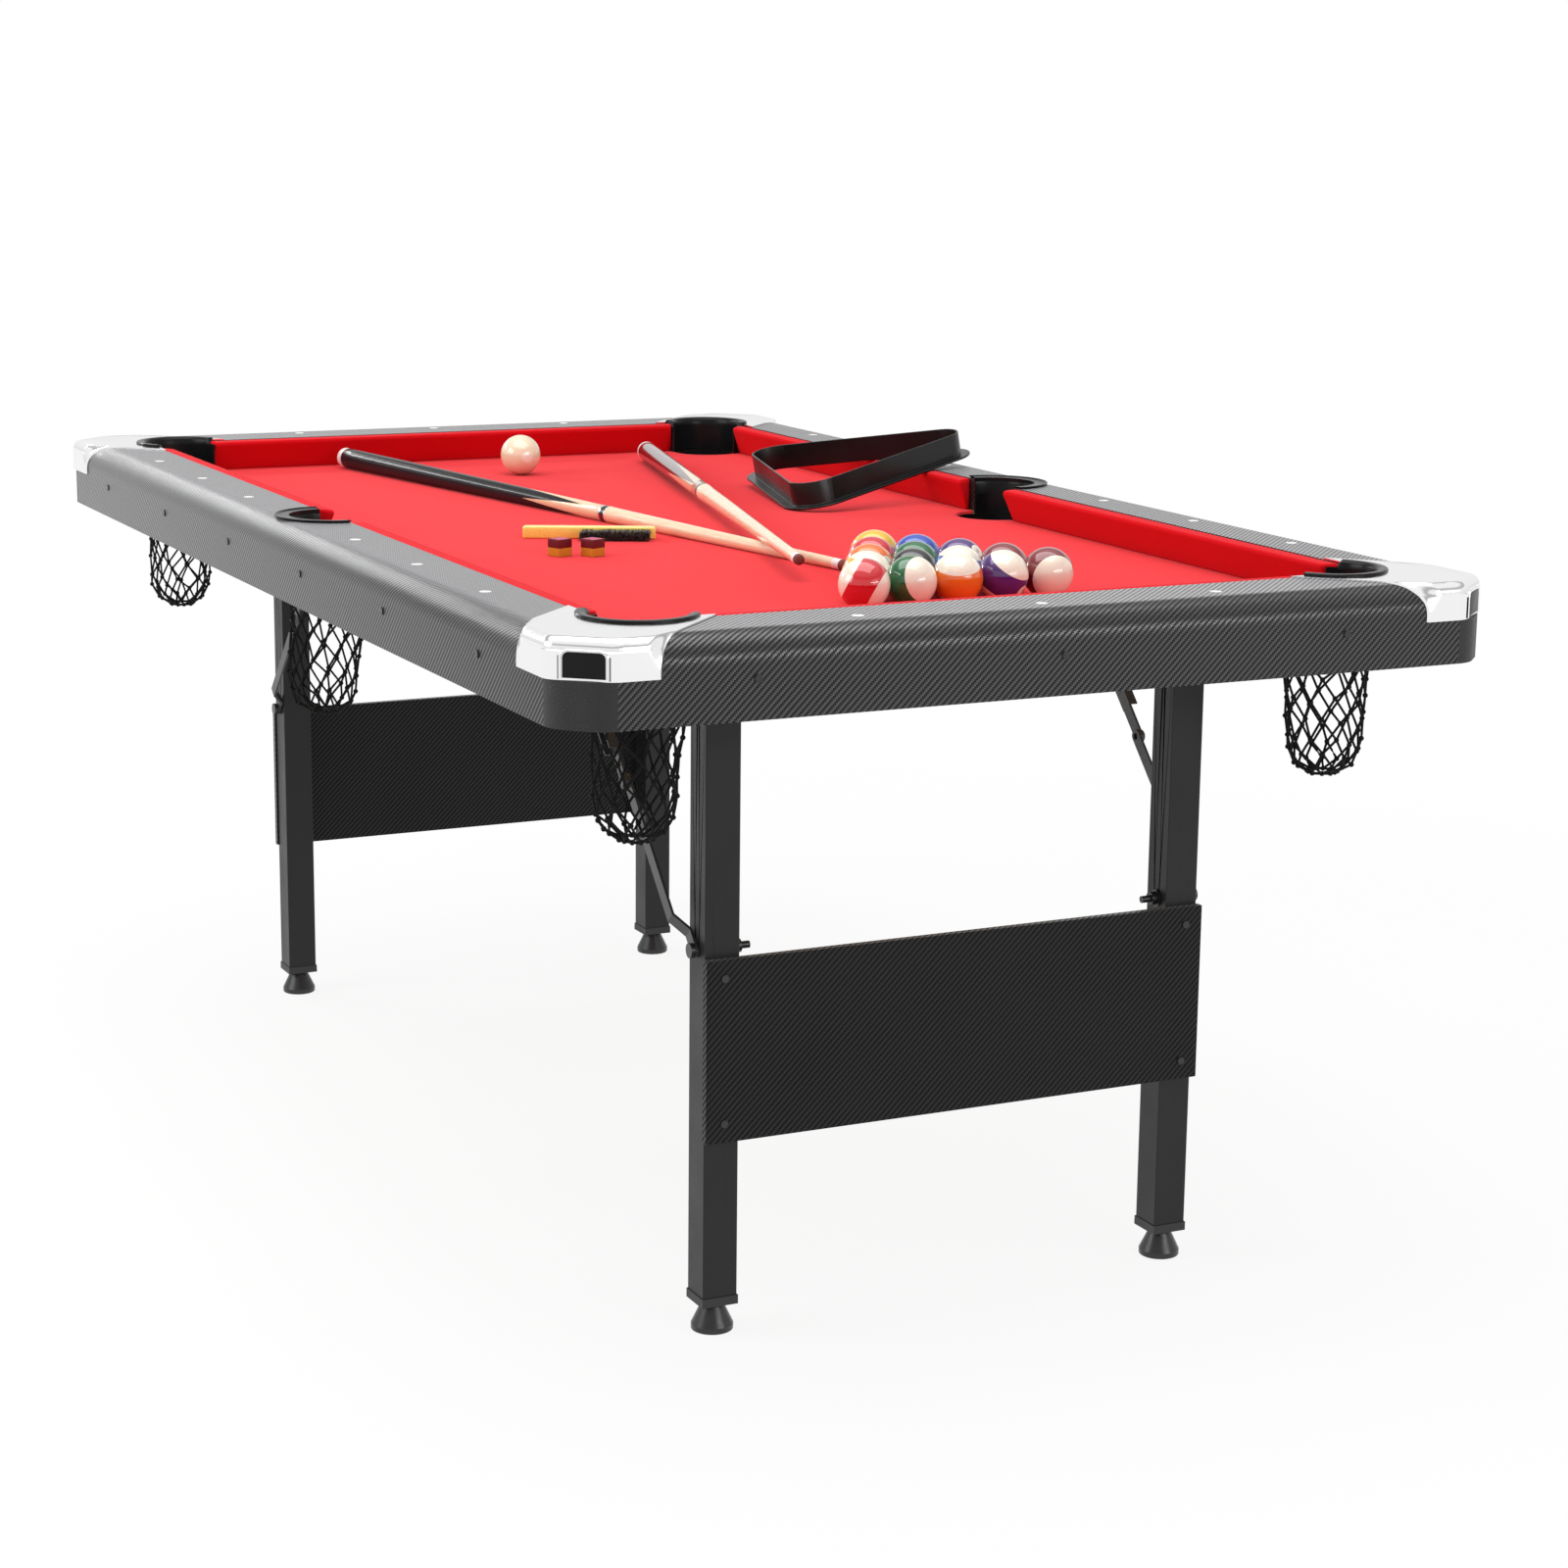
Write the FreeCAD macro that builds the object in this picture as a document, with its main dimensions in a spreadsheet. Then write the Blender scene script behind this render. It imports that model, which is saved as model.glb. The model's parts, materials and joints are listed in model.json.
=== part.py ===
import FreeCAD, Part
import math
import os
import re
import Sketcher

# Folding six-pocket pool table with its playing set.
# Frame: millimetres, +Z up, +X along the length, +Y across the width,
# origin on the floor under the middle of the table. "near" is the +X end,
# "far" the -X end, "left" the -Y side and "right" the +Y side.

DIMENSIONS = {
    # overall outline
    "half_long": 958.0,         # outer face of an end apron
    "half_wide": 543.4,         # outer face of a side apron
    "rail_top": 800.0,
    "seam": 761.0,              # joint between the top rails and the aprons
    "apron_low": 713.0,
    "apron_thick": 12.0,
    "apron_bend": 54.4,         # length of each end and side that a corner apron takes up
    "apron_turn": 38.0,         # outer radius of its two bends
    "nose_round": 30.4,         # bullnose of the top rails
    "rail_in_long": 855.0,      # inner faces of the end rails
    "rail_in_wide": 455.0,      # inner faces of the side rails
    "rail_low": 758.2,
    "side_tip": 750.0,          # where the casting meets the inner edge of a side rail
    "end_tip": 340.0,           # the same on an end rail
    "rail_lap": 14.0,           # how far a rail runs on under the castings
    "rail_over": 50.0,          # height of the cuts through a rail
    "fit_gap": 0.2,
    # bed
    "bed_top": 758.0,
    "cloth_thick": 0.8,
    "board_thick": 15.0,
    "cloth_half_long": 870.0,
    "cloth_half_wide": 470.0,
    # cushions
    "cushion_deep": 21.0,
    "cushion_back_low": 6.0,
    "nose_height": 795.0,
    "side_cushion_back": 788.0,     # its ends, at the rail and at the nose
    "side_cushion_nose": 776.0,
    "mid_cushion_back": 64.0,
    "mid_cushion_nose": 58.0,
    "end_cushion_back": 366.5,
    "end_cushion_nose": 358.0,
    "nose_flat": 3.0,           # height of the nose's upright face
    "nose_slope": 5.0,          # how far its top slopes back
    # pockets
    "corner_long": 825.0,
    "corner_wide": 412.0,
    "throat": 50.0,
    "liner_wall": 3.0,
    "corner_flange": 64.0,
    "mid_flange": 70.0,
    "corner_reach": 205.0,      # how far round a pocket its wall goes, in degrees
    "mid_reach": 180.0,
    "flange_thick": 3.0,
    "liner_low": 722.0,
    "net_low": 570.0,
    "net_top": 47.0,            # half the width across the flats of the net's mouth
    "net_belly": 42.0,          # the same where it turns in to its bottom
    "net_turn": 25.0,           # height of that turn above the bottom
    "net_toe": 24.0,            # half the width of the bottom
    "net_wall": 3.0,
    # corner castings
    "cast_long": 961.5,
    "cast_wide": 547.0,
    "cast_top": 802.0,
    "cast_round": 14.0,
    "cast_wall": 3.0,
    "cast_lid": 1.8,
    "cast_from_long": 700.0,    # where the blank of a casting starts, before its cuts
    "cast_from_wide": 290.0,
    "cast_chamfer": 1463.0,     # x + y on the chamfered corner face
    "plate_wide": 42.0,
    "plate_tall": 26.0,
    "plate_thick": 0.8,
    "plate_rise": 4.0,          # height of the plate's lower edge above the seam
    # sights and apron screws
    "sight_round": 6.3,
    "sight_thick": 0.3,
    "side_sight_line": 497.0,
    "side_sight_pitch": 208.7,
    "end_sight_line": 907.5,
    "end_sight_pitch": 210.0,
    "screw_line": 754.5,
    "side_screw_pitch": 290.7,
    "end_screw_pitch": 342.5,
    "screw_shank": 1.8,
    "screw_head": 4.2,
    "screw_head_tall": 1.8,
    "screw_long": 30.0,
    # underframe
    "beam_wide": 18.0,
    "beam_in": 342.0,
    "beam_half_long": 750.0,
    "joist_in": 775.0,
    # folding leg frames
    "leg_long": 731.0,          # leg centre line along the length
    "leg_wide": 283.0,          # leg centre line across the width
    "leg_size": 40.0,
    "leg_wall": 1.6,
    "leg_low": 35.2,
    "leg_high": 727.0,
    "pivot_height": 714.0,
    "pivot_round": 5.0,
    "running": 0.06,
    "ear_round": 15.0,
    "ear_thick": 3.0,
    "ear_gap": 1.6,
    "cross_low": 668.0,
    "cross_tall": 30.0,
    "cross_deep": 20.0,
    "cap_size": 42.0,
    "cap_low": 32.0,
    "cap_high": 42.0,
    "boss_round": 10.0,
    "boss_high": 62.0,
    "foot_base": 23.0,
    "foot_rim": 7.0,
    "foot_neck": 12.5,
    "foot_high": 30.0,
    "stem_round": 5.0,
    "stem_high": 74.0,
    "panel_half": 305.0,
    "panel_low": 218.0,
    "panel_high": 418.0,
    "panel_thick": 9.0,
    "panel_screw_wide": 284.0,
    "panel_screw_low": 239.0,
    "panel_screw_high": 398.0,
    # folding braces
    "brace_bolt_height": 424.0,
    "brace_bolt": 4.0,
    "brace_wide": 15.0,
    "brace_thick": 3.0,
    "brace_in": 304.5,
    "brace_out": 319.0,
    "brace_bend_from": 22.0,
    "brace_bend_to": 42.0,
    "anchor_long": 441.5,
    "anchor_height": 732.0,
    "lap_gap": 0.3,
    "channel_half": 8.5,
    "channel_deep": 8.0,
    "channel_from": 26.0,
    "channel_to": 172.0,
    # playing set
    "ball_round": 28.575,
    "ball_gap": 0.1,
    "rack_apex_long": 449.0,
    "rack_apex_wide": 45.0,
    "cue_ball_long": -640.0,
    "cue_ball_wide": 35.0,
    "cue_long": 1219.0,
    "cue_butt": 14.5,
    "cue_joint": 10.4,
    "cue_tip": 6.3,
    "lower_butt_long": -815.0,  # where the two cues lie
    "lower_butt_wide": -172.0,
    "lower_tip_long": 385.0,
    "lower_tip_wide": 44.0,
    "upper_butt_long": -737.0,
    "upper_butt_wide": 274.0,
    "upper_butt_rise": 0.4,
    "upper_tip_long": 440.0,
    "upper_tip_wide": -45.0,
    "upper_tip_rise": 18.8,     # the upper cue rests on the lower one
    "triangle_wall": 2.5,
    "triangle_tall": 34.0,
    "triangle_play": 4.0,       # room between the balls and its wall
    "triangle_rim": 12.0,
    "triangle_rim_thick": 3.0,
    "triangle_lean": 10.85,     # its slope up to the cushion, and its turn in its own plane
    "triangle_turn": -13.4,
    "triangle_long": -259.5,
    "triangle_place": 294.0,
    "triangle_rise": 14.3,
    "brush_long": 165.0,
    "brush_wide": 38.0,
    "brush_tall": 15.0,
    "brush_place_long": -15.0,
    "brush_place_wide": -206.0,
    "brush_turn": 66.0,
    "stock_share": 0.45,        # the stock's and the tufts' shares of the width
    "tuft_share": 0.55,
    "tuft_from": 0.42,          # where the tufts start and end along the stock
    "tuft_to": 0.97,
    "tuft_tall": 0.7,           # their share of the height, and where it starts
    "tuft_low": 0.15,
    "chalk": 21.0,
    "chalk_a_long": 136.0,      # where the two cubes stand, and their headings
    "chalk_a_wide": -233.0,
    "chalk_a_turn": 20.0,
    "chalk_b_long": 152.0,
    "chalk_b_wide": -197.0,
    "chalk_b_turn": 24.0,
}

CORNERS = {"near_left": (1, -1), "near_right": (1, 1), "far_left": (-1, -1), "far_right": (-1, 1)}
ENDS = {"near": 1, "far": -1}
SIDES = {"left": -1, "right": 1}

doc = FreeCAD.newDocument("PoolTable")
sheet = doc.addObject("Spreadsheet::Sheet", "dims")
for row, (alias, size) in enumerate(DIMENSIONS.items(), start=1):
    sheet.set(f"A{row}", alias)
    sheet.set(f"B{row}", str(size))
    sheet.setAlias(f"B{row}", alias)
doc.recompute()

nodes = []


# ---------------------------------------------------------------- helpers

def bound(text):
    """The expression with each dimension's name written as a cell of the sheet."""
    return re.sub(r"[a-z_]\w*", lambda word: "dims." + word.group()
                  if word.group() in DIMENSIONS else word.group(), text)


def size_of(text):
    return float(sheet.evalExpression(bound(text)))


def finish_node(feature, label):
    feature.Label = label
    nodes.append(feature)
    return feature


def new_body(label):
    return finish_node(doc.addObject("PartDesign::Body", label), label)


def own_plane(body, role):
    return [item for item in body.Origin.OriginFeatures if item.Role == role][0]


def signed(factor, text):
    return f"{factor} * ({text})"


def mirror_points(points, across, along):
    """The outline with its first coordinate times across and its second times along."""
    flips = across * along < 0
    result = []
    for point in points:
        moved = [signed(across, point[0]), signed(along, point[1])]
        if len(point) > 2:
            moved += [point[2], point[3] != flips]
        result.append(tuple(moved))
    return result


def arc_between(start, end, radius, left):
    """The short arc from start to end; left says that it turns to the left."""
    middle = (start + end) * 0.5
    chord = end - start
    reach = math.sqrt(max(radius ** 2 - (chord.Length / 2) ** 2, 0.0))
    sideways = FreeCAD.Vector(-chord.y, chord.x, 0).normalize()
    centre = middle + sideways * (reach if left else -reach)
    first, last = (start, end) if left else (end, start)
    angles = [math.atan2(p.y - centre.y, p.x - centre.x) for p in (first, last)]
    circle = Part.Circle(centre, FreeCAD.Vector(0, 0, 1), radius)
    return Part.ArcOfCircle(circle, angles[0], angles[1])


def new_sketch(body, role, offset):
    sketch = body.newObject("Sketcher::SketchObject", "Sketch")
    sketch.AttachmentSupport = [(own_plane(body, role), "")]
    sketch.MapMode = "FlatFace"
    sketch.setExpression("AttachmentOffset.Base.z", bound(offset))
    return sketch


def pin_point(sketch, geometry, vertex, across, up):
    for kind, text in (("DistanceX", across), ("DistanceY", up)):
        index = sketch.addConstraint(
            Sketcher.Constraint(kind, -1, 1, geometry, vertex, size_of(text)))
        sketch.setExpression(f"Constraints[{index}]", bound(text))


def outline(body, role, points, offset):
    """A closed outline. A point is (across, up), or (across, up, radius, left)
    where an arc of that radius leads on to the next point."""
    sketch = new_sketch(body, role, offset)
    places = [FreeCAD.Vector(size_of(p[0]), size_of(p[1]), 0) for p in points]
    joints = []
    for index, point in enumerate(points):
        start, end = places[index], places[(index + 1) % len(points)]
        if len(point) > 2:
            sketch.addGeometry(arc_between(start, end, size_of(point[2]), point[3]), False)
            joints.append((1, 2) if point[3] else (2, 1))
        else:
            sketch.addGeometry(Part.LineSegment(start, end), False)
            joints.append((1, 2))
    for index in range(len(points)):
        following = (index + 1) % len(points)
        sketch.addConstraint(Sketcher.Constraint(
            "Coincident", index, joints[index][1], following, joints[following][0]))
    for index, point in enumerate(points):
        pin_point(sketch, index, joints[index][0], point[0], point[1])
        if len(point) > 2:
            radius = sketch.addConstraint(
                Sketcher.Constraint("Radius", index, size_of(point[2])))
            sketch.setExpression(f"Constraints[{radius}]", bound(point[2]))
    return sketch


def circles(body, role, centres, radius, offset):
    sketch = new_sketch(body, role, offset)
    for index, (across, up) in enumerate(centres):
        centre = FreeCAD.Vector(size_of(across), size_of(up), 0)
        sketch.addGeometry(Part.Circle(centre, FreeCAD.Vector(0, 0, 1), size_of(radius)), False)
        pin_point(sketch, index, 3, across, up)
        ring = sketch.addConstraint(Sketcher.Constraint("Radius", index, size_of(radius)))
        sketch.setExpression(f"Constraints[{ring}]", bound(radius))
    return sketch


def plane_offset(role, start, length):
    """Where the sketch plane sits, so that the feature runs from start to
    start + length along the plane's own global axis."""
    if role == "XZ_Plane":
        return f"-1 * (({start}) + ({length}))"
    return start


def pad(body, role, points, start, length):
    sketch = outline(body, role, points, plane_offset(role, start, length))
    feature = body.newObject("PartDesign::Pad", "Pad")
    feature.Profile = sketch
    feature.setExpression("Length", bound(length))
    doc.recompute()
    return feature


def cut_sketch(body, sketch, length):
    before = body.Shape.Volume
    feature = body.newObject("PartDesign::Pocket", "Pocket")
    feature.Profile = sketch
    feature.Reversed = True
    feature.setExpression("Length", bound(length))
    doc.recompute()
    if not body.Shape.Volume < before - 1e-6:
        raise ValueError(f"a pocket of {body.Label} cuts nothing")
    return feature


def cut(body, role, points, start, length):
    return cut_sketch(body, outline(body, role, points, plane_offset(role, start, length)), length)


def drill(body, role, centres, radius, start, length):
    return cut_sketch(
        body, circles(body, role, centres, radius, plane_offset(role, start, length)), length)


def revolve(body, points, angle="360"):
    """Turns an outline in (radius, height) about the body's own Z axis."""
    sketch = outline(body, "XZ_Plane", points, "0")
    feature = body.newObject("PartDesign::Revolution", "Revolution")
    feature.Profile = sketch
    feature.ReferenceAxis = (sketch, ["V_Axis"])
    feature.setExpression("Angle", bound(angle))
    feature.Midplane = True
    doc.recompute()
    return feature


def rectangle(low_across, low_up, high_across, high_up):
    return [(low_across, low_up), (high_across, low_up),
            (high_across, high_up), (low_across, high_up)]


def place(feature, base, rotation=None):
    feature.Placement = FreeCAD.Placement(
        FreeCAD.Vector(*[size_of(text) for text in base]), rotation or FreeCAD.Rotation())
    for axis, text in zip("xyz", base):
        feature.setExpression(f"Placement.Base.{axis}", bound(text))


def cylinder(radius, length, base, direction):
    """A cylinder from base along direction, bound to the sheet."""
    feature = doc.addObject("Part::Cylinder", "Cylinder")
    feature.setExpression("Radius", bound(radius))
    feature.setExpression("Height", bound(length))
    place(feature, base, FreeCAD.Rotation(FreeCAD.Vector(0, 0, 1), FreeCAD.Vector(*direction)))
    return feature


def box(low, sizes, rotation=None):
    feature = doc.addObject("Part::Box", "Box")
    for name, text in zip(("Length", "Width", "Height"), sizes):
        feature.setExpression(name, bound(text))
    place(feature, low, rotation)
    return feature


def group(label, features):
    """Separate solids, or touching ones fused, as one sub-part."""
    fused = doc.addObject("Part::MultiFuse", label)
    fused.Shapes = features
    return finish_node(fused, label)


def round_ends(body, radius, test):
    """Rounds the body's edges whose middle passes the test."""
    doc.recompute()
    solid = body.Tip
    names = []
    for index, edge in enumerate(solid.Shape.Edges, start=1):
        if len(edge.Vertexes) == 2 and edge.Length > 1e-6:
            if test(edge):
                names.append(f"Edge{index}")
    feature = body.newObject("PartDesign::Fillet", "Fillet")
    feature.Base = (solid, names)
    feature.setExpression("Radius", bound(radius))
    doc.recompute()
    return feature


# ---------------------------------------------------------------- pockets

corner_centres = [(signed(sx, "corner_long"), signed(sy, "corner_wide"))
                  for sx, sy in CORNERS.values()]
middle_centres = [("0", signed(sy, "rail_in_wide")) for sy in SIDES.values()]
pocket_hole = "throat + liner_wall + fit_gap"


# ---------------------------------------------------------------- bed

def playfield_board():
    body = new_body("playfield_board")
    end, side = "(half_long - apron_thick)", "(half_wide - apron_thick)"
    end_in, side_in = "(half_long - apron_bend)", "(half_wide - apron_bend)"
    quarter = [(end, side_in), (end_in, side)]
    points = mirror_points(quarter, 1, 1) + mirror_points(quarter[::-1], -1, 1)
    points += mirror_points(quarter, -1, -1) + mirror_points(quarter[::-1], 1, -1)
    low = "bed_top - cloth_thick - board_thick"
    pad(body, "XY_Plane", points, low, "board_thick")
    drill(body, "XY_Plane", corner_centres + middle_centres, pocket_hole, low, "board_thick")


def playfield_cloth():
    body = new_body("playfield_cloth")
    low = "bed_top - cloth_thick"
    pad(body, "XY_Plane",
        rectangle("-cloth_half_long", "-cloth_half_wide", "cloth_half_long", "cloth_half_wide"),
        low, "cloth_thick")
    drill(body, "XY_Plane", corner_centres + middle_centres, pocket_hole, low, "cloth_thick")


# ---------------------------------------------------------------- rails and aprons

def rail_profile(inner, outer):
    """Section of a top rail in (out from the middle, height), with its bullnose."""
    return [(inner, "rail_low"), (f"{outer} - apron_thick - 1", "rail_low"),
            (f"{outer} - apron_thick - 1", "seam"), (outer, "seam"),
            (outer, "rail_top - nose_round", "nose_round", True),
            (f"{outer} - nose_round", "rail_top"), (inner, "rail_top")]


def side_rail(name, sy):
    body = new_body(f"side_rail_{name}")
    tip = "(side_tip + rail_lap)"
    reach = f"({tip} + half_wide - rail_in_wide)"
    profile = mirror_points(rail_profile("rail_in_wide", "half_wide"), sy, 1)
    pad(body, "YZ_Plane", profile, f"-{reach}", f"2 * {reach}")
    wedge = [(f"{tip} - 1", "rail_in_wide - 1"), (f"{reach} + 1", "rail_in_wide - 1"),
             (f"{reach} + 1", "half_wide + 1")]
    for sx in ENDS.values():
        cut(body, "XY_Plane", mirror_points(wedge, sx, sy), "rail_low - 1", "rail_over")
    drill(body, "XY_Plane", [("0", signed(sy, "rail_in_wide"))], pocket_hole, "rail_low - 1",
          "rail_over")


def end_rail(name, sx):
    body = new_body(f"end_rail_{name}")
    tip = "(end_tip + rail_lap)"
    reach = f"({tip} + half_long - rail_in_long)"
    profile = mirror_points(rail_profile("rail_in_long", "half_long"), sx, 1)
    pad(body, "XZ_Plane", profile, f"-{reach}", f"2 * {reach}")
    wedge = [("rail_in_long - 1", f"{tip} - 1"), ("rail_in_long - 1", f"{reach} + 1"),
             ("half_long + 1", f"{reach} + 1")]
    for sy in SIDES.values():
        cut(body, "XY_Plane", mirror_points(wedge, sx, sy), "rail_low - 1", "rail_over")


side_screws = [f"{step} * side_screw_pitch" for step in (-2.5, -1.5, -0.5, 0.5, 1.5, 2.5)]
end_screws = [f"{step} * end_screw_pitch" for step in (-1, 0, 1)]


def side_apron(name, sy):
    body = new_body(f"side_apron_{name}")
    reach = "(half_long - apron_bend)"
    section = mirror_points(rectangle("half_wide - apron_thick", "apron_low",
                                      "half_wide", "seam"), sy, 1)
    pad(body, "YZ_Plane", section, f"-{reach}", f"2 * {reach}")
    start = "half_wide - apron_thick - 1" if sy > 0 else "-half_wide - 1"
    drill(body, "XZ_Plane", [(x, "screw_line") for x in side_screws],
          "screw_shank + running", start, "apron_thick + 2")


def end_apron(name, sx):
    body = new_body(f"end_apron_{name}")
    reach = "(half_wide - apron_bend)"
    section = mirror_points(rectangle("half_long - apron_thick", "apron_low",
                                      "half_long", "seam"), sx, 1)
    pad(body, "XZ_Plane", section, f"-{reach}", f"2 * {reach}")
    start = "half_long - apron_thick - 1" if sx > 0 else "-half_long - 1"
    drill(body, "YZ_Plane", [(y, "screw_line") for y in end_screws],
          "screw_shank + running", start, "apron_thick + 2")


def corner_apron(name, sx, sy):
    body = new_body(f"corner_apron_{name}")
    end_in, side_in = "half_long - apron_bend", "half_wide - apron_bend"
    outer, inner = "apron_turn", "(apron_turn - apron_thick)"
    half = "sqrt(0.5)"
    points = [
        ("half_long - apron_thick", side_in), ("half_long", side_in, outer, True),
        (f"half_long - {outer} * (1 - {half})", f"{side_in} + {outer} * {half}"),
        (f"{end_in} + {outer} * {half}", f"half_wide - {outer} * (1 - {half})", outer, True),
        (end_in, "half_wide"), (end_in, "half_wide - apron_thick", inner, False),
        (f"{end_in} + {inner} * {half}",
         f"half_wide - apron_thick - {inner} * (1 - {half})"),
        (f"half_long - apron_thick - {inner} * (1 - {half})",
         f"{side_in} + {inner} * {half}", inner, False)]
    pad(body, "XY_Plane", mirror_points(points, sx, sy), "apron_low", "seam - apron_low")


def corner_casting(name, sx, sy):
    """Chrome corner shell over the rails' ends: rounded top edges, a chamfered
    corner face, a round cut-out for the pocket, and a hollow underside."""
    body = new_body(f"corner_casting_{name}")
    tall = "(cast_top - seam)"
    from_long, from_wide = "cast_from_long", "cast_from_wide"
    profile = [(from_long, "seam"), ("cast_long", "seam"),
               ("cast_long", "cast_top - cast_round", "cast_round", True),
               ("cast_long - cast_round", "cast_top"), (from_long, "cast_top")]
    start = from_wide if sy > 0 else "-cast_wide"
    pad(body, "XZ_Plane", mirror_points(profile, sx, 1), start, f"cast_wide - {from_wide}")
    edge = [("cast_wide", "cast_top - cast_round", "cast_round", True),
            ("cast_wide - cast_round", "cast_top"), ("cast_wide - cast_round", "cast_top + 1"),
            ("cast_wide + 1", "cast_top + 1"), ("cast_wide + 1", "cast_top - cast_round")]
    start = f"{from_long} - 1" if sx > 0 else "-cast_long - 1"
    cut(body, "YZ_Plane", mirror_points(edge, sy, 1), start, f"cast_long - {from_long} + 2")
    side_line, end_line = "(side_tip - rail_in_wide)", "(rail_in_long - end_tip)"
    cuts = [
        [("cast_chamfer - cast_wide - 1", "cast_wide + 1"), ("cast_long + 1", "cast_wide + 1"),
         ("cast_long + 1", "cast_chamfer - cast_long - 1")],
        [(f"{from_wide} - 9 + {side_line}", f"{from_wide} - 9"),
         (f"cast_wide + 9 + {side_line}", "cast_wide + 9"),
         (f"{from_wide} - 9 + {side_line}", "cast_wide + 9")],
        [(f"{from_wide} - 9 + {end_line}", f"{from_wide} - 9"),
         ("cast_long + 9", f"{from_wide} - 9"), ("cast_long + 9", f"cast_long + 9 - {end_line}")],
        rectangle(f"{from_long} - 9", f"{from_wide} - 9", "rail_in_long", "rail_in_wide"),
    ]
    for points in cuts:
        cut(body, "XY_Plane", mirror_points(points, sx, sy), "seam - 1", f"{tall} + 2")
    drill(body, "XY_Plane", [(signed(sx, "corner_long"), signed(sy, "corner_wide"))],
          pocket_hole, "seam - 1", f"{tall} + 2")
    hollow = [(f"{from_long} - 9", f"{from_wide} - 9"),
              ("cast_long - cast_wall", f"{from_wide} - 9"),
              ("cast_long - cast_wall", "cast_chamfer - cast_long - cast_wall"),
              ("cast_chamfer - cast_wide - cast_wall", "cast_wide - cast_wall"),
              (f"{from_long} - 9", "cast_wide - cast_wall")]
    cut(body, "XY_Plane", mirror_points(hollow, sx, sy), "seam - 1", f"{tall} + 1 - cast_lid")


def corner_inset_plates():
    """Blank black plates set on the chamfered faces of the castings."""
    plates = []
    for sx, sy in CORNERS.values():
        heading = math.degrees(math.atan2(sy, sx))
        turn = FreeCAD.Rotation(FreeCAD.Vector(0, 0, 1), heading)
        # The plate's own low corner sits half a plate to the side of the face's middle.
        middle_x, middle_y = "(cast_chamfer + cast_long - cast_wide) / 2", \
            "(cast_chamfer - cast_long + cast_wide) / 2"
        aside = turn.multVec(FreeCAD.Vector(0, -0.5, 0))
        low = [f"{sx} * {middle_x} + {aside.x} * plate_wide",
               f"{sy} * {middle_y} + {aside.y} * plate_wide", "seam + plate_rise"]
        plates.append(box(low, ("plate_thick", "plate_wide", "plate_tall"), turn))
    group("corner_inset_plates", plates)


# ---------------------------------------------------------------- cushions

def cushion_outline(inner, end_a, end_b):
    """Plan of a cushion: (along, out); its ends slant away from the pockets."""
    return [(end_a[1], f"{inner} - cushion_deep"), (end_b[1], f"{inner} - cushion_deep"),
            (end_b[0], f"{inner} - fit_gap"), (end_a[0], f"{inner} - fit_gap")]


def cushion_section(inner):
    """The parts of the section that are cut away: under the nose and above it."""
    nose = f"{inner} - cushion_deep"
    under = [(f"{nose} - 1", "bed_top - 1"), (f"{inner} - cushion_back_low", "bed_top - 1"),
             (f"{inner} - cushion_back_low", "bed_top"), (f"{nose}", "nose_height - nose_flat"),
             (f"{nose} - 1", "nose_height - nose_flat")]
    above = [(f"{nose} - 1", "nose_height"), (nose, "nose_height"),
             (f"{nose} + nose_slope", "rail_top - 0.5"), (f"{inner} + 1", "rail_top"),
             (f"{inner} + 1", "rail_top + 1"), (f"{nose} - 1", "rail_top + 1")]
    return under, above


def side_cushion(name, sx, sy):
    body = new_body(f"side_cushion_{name}")
    middle = ("mid_cushion_back", "mid_cushion_nose")
    corner = ("side_cushion_back", "side_cushion_nose")
    points = cushion_outline("rail_in_wide", middle, corner)
    low = "bed_top + fit_gap"
    pad(body, "XY_Plane", mirror_points(points, sx, sy), low, "rail_top - bed_top - fit_gap")
    start = "0" if sx > 0 else "-side_cushion_back - 1"
    for section in cushion_section("rail_in_wide"):
        cut(body, "YZ_Plane", mirror_points(section, sy, 1), start, "side_cushion_back + 1")


def end_cushion(name, sx):
    body = new_body(f"end_cushion_{name}")
    reach = ("end_cushion_back", "end_cushion_nose")
    minus = tuple(f"-({text})" for text in reach)
    plan = cushion_outline("rail_in_long", minus, reach)
    points = [(out, along) for along, out in plan]
    low = "bed_top + fit_gap"
    pad(body, "XY_Plane", mirror_points(points, sx, 1), low, "rail_top - bed_top - fit_gap")
    for section in cushion_section("rail_in_long"):
        cut(body, "XZ_Plane", mirror_points(section, sx, 1), "-end_cushion_back - 1",
            "2 * end_cushion_back + 2")


# ---------------------------------------------------------------- liners and nets

def pocket_liner(label, base, heading, flange, flange_low, turn):
    """Moulded pocket: a full sleeve below the bed, and a wall with a top flange
    on the far side from the table's middle."""
    body = new_body(label)
    wall_out = "throat + liner_wall"
    revolve(body, rectangle("throat", "liner_low", wall_out, "bed_top - cloth_thick"))
    flange_top = f"{flange_low} + flange_thick"
    revolve(body, [("throat", "bed_top - 5"), (wall_out, "bed_top - 5"),
                   (wall_out, flange_low), (flange, flange_low),
                   (flange, flange_top), ("throat", flange_top)], turn)
    place(body, (*base, "0"), FreeCAD.Rotation(FreeCAD.Vector(0, 0, 1), heading))


def octagon(half):
    """The corners of an eight-sided outline, from half its width across the flats."""
    near, far = f"({half}) * (sqrt(2) - 1)", f"({half})"
    quarter = [(far, near), (near, far)]
    return (mirror_points(quarter, 1, 1) + mirror_points(quarter[::-1], -1, 1)
            + mirror_points(quarter, -1, -1) + mirror_points(quarter[::-1], 1, -1))


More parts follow.
